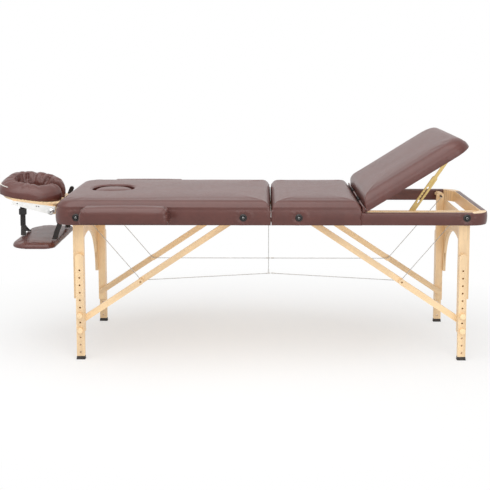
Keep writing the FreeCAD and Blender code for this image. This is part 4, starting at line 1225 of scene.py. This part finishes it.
def bolt_pucker(spot):
    """Puffs and creases of the leather round the cup washers of the side rails."""
    if abs(abs(spot.y) - RAIL_FACE) > 0.012:
        return 0.0
    for x in BOLT_PLACES:
        away = Vector((spot.x - FOLD_X - x, spot.z - BOLT_Z))
        share = (away.length - WASHER_RADIUS * 0.7) / (PUCKER_REACH - WASHER_RADIUS * 0.7)
        if 0.0 < share < 1.0:
            turn = math.atan2(away.y, away.x)
            wave = 0.5 + 0.5 * math.cos(size_values().pucker_count * turn + 1.7 * math.sin(2 * turn))
            return math.sin(math.pi * share) ** 1.3 * (0.0008 + 0.0020 * wave)
    return 0.0


def near_bolt(spot):
    """1 at a cup washer, 0 away from it."""
    reach = min(math.hypot(spot.x - FOLD_X - x, spot.z - BOLT_Z) for x in BOLT_PLACES)
    return 1.0 - ease((reach - WASHER_RADIUS) / 0.016)


def beside_armrest(spot):
    """1 next to an armrest, 0 away from it."""
    return 1.0 - ease((abs(spot.x - FOLD_X - ARMREST_MIDDLE) - 0.19) / 0.03)


def bored(spot):
    """Whether a spot of a rail's cover lies in a dowel hole."""
    for x in ARMREST_DOWELS:
        if abs(spot.y) > RAIL_FACE - 0.01 and math.hypot(
                spot.x - FOLD_X - x, spot.z - ARMREST_DOWEL_Z) < DOWEL_HOLE:
            return True
    if spot.x - FOLD_X < -0.9:
        for y in CRADLE_DOWELS:
            if math.hypot(spot.y - y, spot.z - CRADLE_AXLE[1]) < CRADLE_HOLE:
                return True
    return False


def side_bulge(z):
    """How far the leather of a rail stands off between its lower edge and the padding."""
    share = (z - RAIL_LOW.z) / (DECK_TOP - RAIL_LOW.z)
    return SIDE_BULGE * math.sin(math.pi * min(1.0, max(0.0, share))) ** 0.7


class TABLE_OT_top_pads(bpy.types.Operator):
    """The padded top: one leather skin over the padding and rails of each half, and the face-hole plug"""

    bl_idname = "table.top_pads"
    bl_label = "Top pads"

    def execute(self, context):
        self.off = size_values().cover_thickness + SEAT_GAP
        self.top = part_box("head_pad")[1].z - PAD_CROWN
        wide = RAIL_FACE + self.off
        waist = DECK_TOP + 0.006
        head = loaf("head_skin", (HEAD_END - self.off, FOLD_X - FOLD_FACE, -wide, wide), RAIL_LOW.z, waist,
                    self.top, PAD_ROLL, PAD_CROWN, CORNER_RADIUS + self.off, OPEN_CORNER,
                    (CORNER_RADIUS + self.off, SQUARE_CORNER))
        self.hole(head)
        self.skin(head, "head_pad", "head_half", FOLD_X - FOLD_FACE)
        seat_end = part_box("seat_pad")[1].x + 0.0003
        seat = loaf("seat_skin", (FOLD_X + FOLD_FACE, seat_end, -wide, wide), RAIL_LOW.z, waist,
                    self.top, PAD_ROLL, PAD_CROWN, OPEN_CORNER, OPEN_CORNER, (SQUARE_CORNER, SQUARE_CORNER))
        self.skin(seat, "seat_pad", "seat_half", FOLD_X + FOLD_FACE, seat_end)
        self.plug()
        return {"FINISHED"}

    def hole(self, skin):
        """Cuts the face hole down to the deck."""
        x, y = PLUG_HALF
        middle = FOLD_X + PLUG_MIDDLE
        rings = [rounded_ring(middle - x, middle + x, -y, y, z, HOLE_ROUND * y, HOLE_ROUND * y)
                 for z in (DECK_TOP - 0.004, self.top + 0.06)]
        cutter = stacked("face_hole", rings)
        cut = skin.modifiers.new("hole", "BOOLEAN")
        cut.object = cutter
        cut.operation = "DIFFERENCE"
        cut.solver = "EXACT"
        settle(skin)
        bpy.data.objects.remove(cutter)

    def skin(self, piece, node, body, *open_ends):
        """Grids, opens, swells and ripples one half's skin."""
        gridded(piece)
        trimmed(piece, RAIL_LOW.z - 0.0003, lambda middle, normal: self.lost(middle, normal, open_ends))
        swell(piece, SWELL_INSET, size_values().swell_cap, self.give)
        push(piece, self.ripple)
        squared(piece, open_ends, RAIL_FACE + self.off, DECK_TOP + 0.002)
        walled(piece, size_values().cover_thickness)
        cushioned(piece, node, body)

    @staticmethod
    def lost(middle, normal, open_ends):
        """Faces below the deck at the open ends, the floor of the face hole, and the dowel holes."""
        facing = abs(normal.x) > 0.6 and any(abs(middle.x - x) < 0.004 for x in open_ends)
        if facing and middle.z < DECK_TOP - 0.001:
            return True
        if plug_distance(middle) < 0.004 and middle.z < DECK_TOP + 0.0006:
            return True
        return middle.z < DECK_TOP and bored(middle)

    @staticmethod
    def give(place, normal):
        """Free on the padding, held on the rails and in the face hole."""
        free = ease((place.z - DECK_TOP - 0.002) / 0.03)
        return free * ease((plug_distance(place) + 0.002) / 0.02)

    @staticmethod
    def ripple(place, normal):
        """Faint waves of hand-pulled leather, the rolled edge of the face hole, and puckers at the bolts."""
        edge = 1.0 - abs(normal.z)
        soft = wave(place, TOP_WAVE) + wave(place, TOP_EDGE_WAVE) * edge
        if place.z > DECK_TOP + 0.001:
            dip = 1.0 - ease(plug_distance(place) / HOLE_DIP[0])
            tuck = max(0.0, 1.0 - abs(place.z - DECK_TOP - TUCK_PLACE[0]) / TUCK_PLACE[1])
            if abs(normal.z) >= 0.5:
                tuck = 0.0
            return soft - HOLE_DIP[1] * dip - TUCK_DEPTH * tuck
        calm = 1.0 - beside_armrest(place)
        lift = side_bulge(place.z) * (1.0 - near_bolt(place)) + soft * 0.35 + bolt_pucker(place)
        return max(0.0, lift) * calm

    def plug(self):
        """The plug of the face hole, rolled along its rim."""
        x, y = PLUG_HALF[0] - 0.0018, PLUG_HALF[1] - 0.0018
        middle = FOLD_X + PLUG_MIDDLE
        low = DECK_TOP + 0.0003
        pad = loaf("plug_cushion", (middle - x, middle + x, -y, y), low + ROOT_DEPTH, low + 0.022,
                   self.top - 0.003, 0.014, 0.005, HOLE_ROUND * y, HOLE_ROUND * y)
        gridded(pad, 0.005)
        swell(pad, 0.0012, 0.003, lambda place, normal: ease((place.z - low - 0.02) / 0.02))
        push(pad, lambda place, normal: wave(place, PLUG_WAVE) if normal.z > 0.5 else 0.0)
        cushioned(pad, "face_plug", "face_plug")


def plug_distance(place):
    """How far a spot lies outside the face hole's outline; large away from the hole."""
    x = (place.x - FOLD_X - PLUG_MIDDLE) / PLUG_HALF[0]
    y = place.y / PLUG_HALF[1]
    return ((abs(x) ** 2.3 + abs(y) ** 2.3) ** (1 / 2.3) - 1.0) * PLUG_HALF[1]


class TABLE_OT_back(bpy.types.Operator):
    """The lifting back: thick padding whose leather runs over the edge of its board"""

    bl_idname = "table.back"
    bl_label = "Back"

    def execute(self, context):
        off = size_values().cover_thickness + SEAT_GAP
        low = BACK_BOARD_LOW
        wide = RAIL_FACE + off
        span = (FOLD_X + BACK_SPAN[0] - 0.0004, FOLD_X + BACK_SPAN[1] + off, -wide, wide)
        piece = loaf("back_skin", span, low, low + 0.014, BACK_EDGE, BACK_ROLL, BACK_CROWN, OPEN_CORNER,
                     BACK_CORNER + off, (SQUARE_CORNER, BACK_CORNER + off))
        gridded(piece)
        trimmed(piece, low + 0.0002)
        swell(piece, SWELL_INSET, size_values().swell_cap,
              lambda place, normal: ease((place.z - low - 0.012) / 0.025))
        push(piece, self.ripple)
        squared(piece, span[:1], wide, low + 0.013)
        walled(piece, size_values().cover_thickness)
        axis = Vector((FOLD_X + BACK_AXIS[0], 0.0, BACK_AXIS[1]))
        turn = Matrix.Translation(axis) @ Matrix.Rotation(-BACK_TILT, 4, "Y") @ Matrix.Translation(-axis)
        piece.data.transform(turn)
        cushioned(piece, "backrest_pad", "backrest")
        self.gusset(turn)
        return {"FINISHED"}

    @staticmethod
    def gusset(turn):
        """The leather that fills the gap below the hinges, from the seat's end to the back's."""
        low, high = GUSSET_LEVELS
        levels = [low + (high - low) * k / GUSSET_STEPS for k in range(GUSSET_STEPS + 1)]
        seat = [Vector((FOLD_X + GUSSET_SEAT, 0.0, z)) for z in reversed(levels)]
        back = [turn @ Vector((FOLD_X + GUSSET_BACK, 0.0, z)) for z in levels]
        outline = seat + [seat[-1].lerp(back[0], k / 4) - Vector((0.0, 0.0, 0.002)) for k in (1, 2, 3)] + back
        count = len(outline)
        points, faces = [], []
        for start, end in GUSSET_SPANS:
            first = len(points)
            steps = max(2, int((end - start) / COVER_STEP))
            for i in range(steps + 1):
                y = start + (end - start) * i / steps
                points += [Vector((p.x, y, p.z)) for p in outline]
            faces += [tuple(range(first, first + count)),
                      tuple(first + steps * count + k for k in reversed(range(count)))]
            for i in range(steps):
                a = first + i * count
                faces += [(a + k, a + count + k, a + count + (k + 1) % count, a + (k + 1) % count)
                          for k in range(count)]
        piece = add_piece("back_gusset", mesh_from("back_gusset", points, faces), leather())
        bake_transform(piece)

    @staticmethod
    def ripple(place, normal):
        """Faint waves, stronger round the corners."""
        edge = 1.0 - abs(normal.z)
        return wave(place, BACK_WAVE) + wave(place, BACK_EDGE_WAVE) * edge


class TABLE_OT_rail_covers(bpy.types.Operator):
    """Leather round the rails under the lifting back, puckered at the cup washers"""

    bl_idname = "table.rail_covers"
    bl_label = "Rail covers"

    def execute(self, context):
        thickness = size_values().cover_thickness
        line = self.outline(FOOT_END - FOLD_X)
        profile = self.profile(thickness)
        rows = len(profile)
        points, faces = [], []
        for place, outward, straight in line:
            for offset, z in profile:
                spot = Vector((place.x, place.y, z)) + outward * offset
                if offset > 0.0 and z < RAIL_HIGH.z - 0.001:
                    puff = side_bulge(z) * (1.0 - near_bolt(spot)) + bolt_pucker(spot)
                    spot += outward * (puff + wave(spot, RAIL_WAVE))
                points.append(spot)
        for i in range(len(line) - 1):
            whole = line[i][2] and line[i + 1][2]
            for k in range(rows - 1 if whole else OUTER_ROWS):
                a, b = i * rows + k, (i + 1) * rows + k
                middle = (points[a] + points[b + 1]) / 2
                if not self.at_bush(middle):
                    faces.append((a, b, b + 1, a + 1))
        mesh = bpy.data.meshes.new("foot_rail_cover")
        mesh.from_pydata([tuple(p) for p in points], [], faces)
        with editing(mesh) as shell:
            bmesh.ops.delete(shell, geom=[v for v in shell.verts if not v.link_faces], context="VERTS")
        seen = [f for f in mesh.polygons if abs(f.center.y) > RAIL_FACE]
        if sum(f.normal.y * f.center.y for f in seen) < 0.0:
            mesh.flip_normals()
        piece = walled(add_piece("foot_rail_cover", mesh, leather()), thickness * COVER_WALL)
        fitted(piece, "seat_half", "leather")
        return {"FINISHED"}

    @staticmethod
    def profile(thickness):
        """(outward, level) steps: up the rail's outside, over its top and down its inside."""
        low, high = RAIL_LOW.z + 0.0003, RAIL_HIGH.z
        steps = [(-0.001, low), (thickness * 0.5, low - 0.0001)]
        steps += [(thickness, low + (high - 0.002 - low) * k / COVER_ROWS) for k in range(COVER_ROWS + 1)]
        steps += [(thickness * 0.7, high - 0.0004), (thickness * 0.1, high + 0.0002)]
        inner = -RAIL_DEPTH
        steps += [(inner * 0.5, high + 0.00025), (inner, high + 0.0002), (inner - thickness, high - 0.0012)]
        steps += [(inner - thickness, high - (high - low) * k / INNER_ROWS) for k in range(1, INNER_ROWS + 1)]
        return steps

    @staticmethod
    def outline(reach):
        """(place, outward, straight) steps round the outer face of the foot half."""
        width, radius = RAIL_FACE, CORNER_RADIUS
        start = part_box("seat_pad")[1].x - FOLD_X + 0.0008
        straight = reach - radius - start
        count = int(straight / COVER_STEP)
        steps = [(Vector((start - tail, -width, 0)), Vector((0, -0.5, 0)), True) for tail in COVER_TAILS]
        steps += [(Vector((start + straight * k / count, -width, 0)), Vector((0, -1, 0)), True)
                  for k in range(count + 1)]
        turns = int(radius * math.pi / 2 / COVER_STEP)
        for k in range(1, turns):
            turn = -math.pi / 2 + math.pi / 2 * k / turns
            out = Vector((math.cos(turn), math.sin(turn), 0))
            steps.append((Vector((reach - radius, -width + radius, 0)) + out * radius, out, False))
        across = 2 * (width - radius)
        count = int(across / COVER_STEP)
        middle = [(Vector((reach, -width + radius + across * k / count, 0)), Vector((1, 0, 0)), True)
                  for k in range(count + 1)]
        mirror = [(Vector((p.x, -p.y, 0)), Vector((o.x, -o.y, 0)), whole) for p, o, whole in reversed(steps)]
        return [(Vector((FOLD_X + p.x, p.y, 0)), o, whole) for p, o, whole in steps + middle + mirror]

    @staticmethod
    def at_bush(spot):
        """Whether a spot on a rail's inner face lies at a leg's pivot."""
        return abs(spot.y) < RAIL_FACE - RAIL_DEPTH + 0.001 and math.hypot(
            spot.x - FOLD_X - BOLT_PLACES[-1], spot.z - BOLT_Z) < BUSH_RADIUS


class TABLE_OT_armrests(bpy.types.Operator):
    """Padded covers of the two side armrests"""

    bl_idname = "table.armrests"
    bl_label = "Armrests"

    def execute(self, context):
        for side, sign in (("far", 1), ("near", -1)):
            board_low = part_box(f"{side}_armrest_board")[0].z
            pad_low, pad_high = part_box(f"{side}_armrest_pad")
            inner, outer = sorted((abs(pad_low.y), abs(pad_high.y)))
            span = sorted((sign * (inner - 0.0003), sign * (outer + 0.0012)))
            middle = FOLD_X + ARMREST_MIDDLE
            half = ARMREST_HALF + 0.0012
            piece = loaf(f"{side}_armrest_skin", (middle - half, middle + half, *span), board_low,
                         pad_low.z + 0.008, pad_high.z - 0.003, 0.020, 0.003, ARMREST_CORNER, ARMREST_CORNER)
            gridded(piece, 0.0045)
            trimmed(piece, board_low - 0.0002, lambda spot, normal, y=sign * inner: self.bored(spot, y))
            swell(piece, SWELL_INSET, 0.0045,
                  lambda place, normal, z=pad_low.z: ease((place.z - z + 0.004) / 0.02))
            push(piece, lambda place, normal, y=sign * inner: self.ripple(place, normal, y))
            walled(piece, size_values().cover_thickness)
            cushioned(piece, f"{side}_armrest_pad", f"{side}_armrest")
        return {"FINISHED"}

    @staticmethod
    def bored(spot, inner):
        """Whether a spot lies in a dowel hole of the side next to the table."""
        return abs(spot.y - inner) < 0.004 and any(
            math.hypot(spot.x - FOLD_X - x, spot.z - ARMREST_DOWEL_Z) < DOWEL_HOLE for x in ARMREST_DOWELS)

    @staticmethod
    def ripple(place, normal, inner):
        """Gathers of leather at the two ends, and faint waves between."""
        if abs(place.y - inner) < 0.008:
            return 0.0
        inward = abs(place.x - FOLD_X - ARMREST_MIDDLE) - ARMREST_HALF + 0.05
        end = ease(inward / 0.045)
        turn = math.atan2(place.z - ARMREST_DOWEL_Z, inward)
        fold = math.cos(turn * 17.0 + noise.noise(place * 12.0) * 3.0) * 0.0011
        return end * (fold + 0.0014) + wave(place, ARMREST_WAVE)


def cradle_local(place):
    """A point of the tilted cradle, turned level about its axle; metres from the fold line."""
    axle = Vector((CRADLE_AXLE[0], 0.0, CRADLE_AXLE[1]))
    spot = place - Vector((FOLD_X, 0.0, 0.0)) - axle
    return Matrix.Rotation(-CRADLE_TILT, 3, "Y") @ spot + axle


def cradle_place(spot):
    """A point of the level cradle, tilted about its axle into the table's frame."""
    axle = Vector((CRADLE_AXLE[0], 0.0, CRADLE_AXLE[1]))
    return Matrix.Rotation(CRADLE_TILT, 3, "Y") @ (spot - axle) + axle + Vector((FOLD_X, 0.0, 0.0))


class TABLE_OT_cradle_cushion(bpy.types.Operator):
    """The face cushion: a fat leather ring creased into its opening, with piping at its end whose pale colour
    is a painted highlight
    """

    bl_idname = "table.cradle_cushion"
    bl_label = "Face cushion"

    def execute(self, context):
        up = Matrix.Rotation(CRADLE_TILT, 3, "Y") @ Vector((0, 0, 1))
        cushion = merged_copy("cradle_cushion", "face_cushion")
        gridded(cushion, 0.005)
        for vertex in cushion.data.vertices:
            vertex.co = self.leaned(vertex.co)
        swell(cushion, 0.005, 0.009, lambda place, normal: ease((normal.dot(up) + 0.9) / 0.5))
        push(cushion, lambda place, normal: self.crease(place, normal, up))
        relax(cushion, 1, 0.35)
        finer = cushion.modifiers.new("finer", "SUBSURF")
        finer.levels = finer.render_levels = 1
        smooth(settle(cushion))
        self.piping(cushion)
        cushioned(cushion, "cradle_cushion", "cradle_head")
        return {"FINISHED"}

    @staticmethod
    def crease(place, normal, up):
        """Radial folds that deepen towards the opening, and soft waves outside."""
        if normal.dot(up) < -0.55:
            return 0.0
        spot = cradle_local(place)
        away = Vector((spot.x - CUSHION_MIDDLE, spot.y))
        turn = math.atan2(away.y, away.x)
        wobble = noise.noise(Vector((math.cos(turn) * 1.6, math.sin(turn) * 1.6, 3.0)))
        fold = math.cos(turn * CREASE_COUNT + wobble * 4.5)
        deep = max(0.0, 1.0 - abs(away.length - CREASE_BAND[0]) / CREASE_BAND[1])
        rim = max(0.0, 1.0 - abs(away.length - RIM_BAND[0]) / RIM_BAND[1])
        calm = 0.40 + 0.60 * ease((spot.y + 0.06) / 0.09)
        sharp = -(max(0.0, fold) ** 2.5) * CREASE_DEPTH * deep
        outer = math.cos(turn * RIM_FOLDS + wobble * 6.0) * 0.0010 * rim
        return (sharp + outer) * calm + wave(place, CUSHION_WAVE)

    @staticmethod
    def leaned(place):
        """The cushion sits lower on the near side, and reaches a little further towards the table."""
        spot = cradle_local(place)
        spot.x = CUSHION_MIDDLE + (spot.x - CUSHION_MIDDLE) * CUSHION_STRETCH + CUSHION_SHIFT
        if spot.z > PLATFORM_TOP:
            spot.z = PLATFORM_TOP + (spot.z - PLATFORM_TOP) * (CUSHION_LEAN[0] + CUSHION_LEAN[1] * spot.y)
        return cradle_place(spot)

    @staticmethod
    def piping(cushion):
        """The piping sewn round the head end, half-way up the cushion."""
        mesh = cushion.data
        skin = BVHTree.FromPolygons([v.co for v in mesh.vertices], [f.vertices for f in mesh.polygons])
        radius = size_values().piping_radius
        middle = cradle_place(Vector((CUSHION_MIDDLE, 0.0, PIPING_Z)))
        line = []
        for degrees in range(PIPING_TURN[0], PIPING_TURN[1] + 1, 5):
            t = math.radians(degrees)
            away = cradle_place(Vector((CUSHION_MIDDLE + math.cos(t), math.sin(t), PIPING_Z))) - middle
            hit = skin.ray_cast(middle + away * 0.4, -away)[0]
            if hit is not None:
                line.append(hit + away * radius * 0.4)
        # The piping cord is real; its pale colour is a painted highlight along the seam.
        cord = tube("face_cushion_piping", spline_points(line), radius,
                    finish_named("pale_piping", painted_highlight_piping_finish), PIPING_SIDES)
        fitted(cord, "cradle_head", "leather")


class TABLE_OT_arm_shelf(bpy.types.Operator):
    """The hanging arm shelf: a thin padded board in leather"""

    bl_idname = "table.arm_shelf"
    bl_label = "Arm shelf"

    def execute(self, context):
        shelf = merged_copy("arm_shelf", "arm_shelf_cushion")
        gridded(shelf, 0.005)
        swell(shelf, 0.0020, 0.0015, lambda place, normal: ease((normal.z + 0.9) / 0.5))
        push(shelf, lambda place, normal: 0.0 if normal.z < -0.5 else wave(place, SHELF_WAVE))
        cushioned(shelf, "arm_shelf", "arm_shelf")
        return {"FINISHED"}


class TABLE_OT_straps(bpy.types.Operator):
    """Black webbing that carries the arm shelf"""

    bl_idname = "table.straps"
    bl_label = "Straps"

    def execute(self, context):
        cloth = finish_named("black_webbing", webbing_finish)
        x = FRONT_STRAP_X
        high, low = FRONT_STRAP_Z
        front = strap_band("front_strap", [row(x, 0, high + (low - high) * k / 12) for k in range(13)], cloth)
        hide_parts("shelf_straps")
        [row(x, 0, z) for z in FRONT_STRAP_BEND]
        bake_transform(front)
        bands = []
        for side in (-1, 1):
            points = [row(x + 2, 0, FRONT_STRAP_BEND[1]), row(x + 3, side * 4, 530.0),
                      row(x + 8, side * 24, 514.0), row(SHELF_FRONT, side * 45, SHELF_TOP)]
            bands.append(strap_band("front_branch", points, cloth))
        bar, level = STRAP_BAR
        for side in (-1, 1):
            y = side * STRAP_BAR_Y
            turns = [math.pi + math.pi * k / 8 for k in range(9)]
            loop = [row(bar, y + STRAP_LOOP * math.cos(t), level - STRAP_LOOP * math.sin(t)) for t in turns]
            bands.append(strap_band("rear_loop", [row(bar, y - 1, STRAP_DROP), *loop,
                                                  row(bar, y + 1, STRAP_DROP)], cloth))
            bands.append(strap_band("rear_strap", [
                row(bar, y, STRAP_DROP + 4), row(bar - 4, y, STRAP_DROP - 12), row(bar - 16, y, 533),
                row(bar - 26, y, SHELF_TOP)], cloth))
        straps = joined("shelf_webbing", bands)
        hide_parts("shelf_straps")
        row(bar, 0, level)
        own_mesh(straps)
        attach(straps, "cradle_base")
        return {"FINISHED"}


class TABLE_PT_panel(bpy.types.Panel):
    """Buttons and values of the table"""

    bl_idname = "TABLE_PT_panel"
    bl_label = "Folding massage table"
    bl_space_type = "VIEW_3D"
    bl_region_type = "UI"
    bl_category = "Table"

    def draw(self, context):
        layout = self.layout
        for group in (finish_values(), size_values(), stage_values()):
            column = layout.column(align=True)
            for key in group.__annotations__:
                column.prop(group, key)
        for operator in OPERATORS:
            layout.operator(operator.bl_idname)


GROUPS = (("table_finish", TableFinish), ("table_sizes", TableSizes), ("table_stage", TableStage))
OPERATORS = (TABLE_OT_stage, TABLE_OT_cables, TABLE_OT_wood_and_metal, TABLE_OT_rail_covers,
             TABLE_OT_top_pads, TABLE_OT_back, TABLE_OT_armrests, TABLE_OT_cradle_cushion, TABLE_OT_arm_shelf,
             TABLE_OT_straps)


def register():
    for name, group in GROUPS:
        bpy.utils.register_class(group)
        setattr(bpy.types.Scene, name, PointerProperty(type=group))
    for operator in OPERATORS:
        bpy.utils.register_class(operator)
    bpy.utils.register_class(TABLE_PT_panel)


def unregister():
    bpy.utils.unregister_class(TABLE_PT_panel)
    for operator in reversed(OPERATORS):
        bpy.utils.unregister_class(operator)
    for name, group in reversed(GROUPS):
        delattr(bpy.types.Scene, name)
        bpy.utils.unregister_class(group)


def main():
    """Makes every piece."""
    register()
    for operator in OPERATORS:
        group, name = operator.bl_idname.split(".")
        getattr(getattr(bpy.ops, group), name)()


if __name__ == "__main__":
    main()
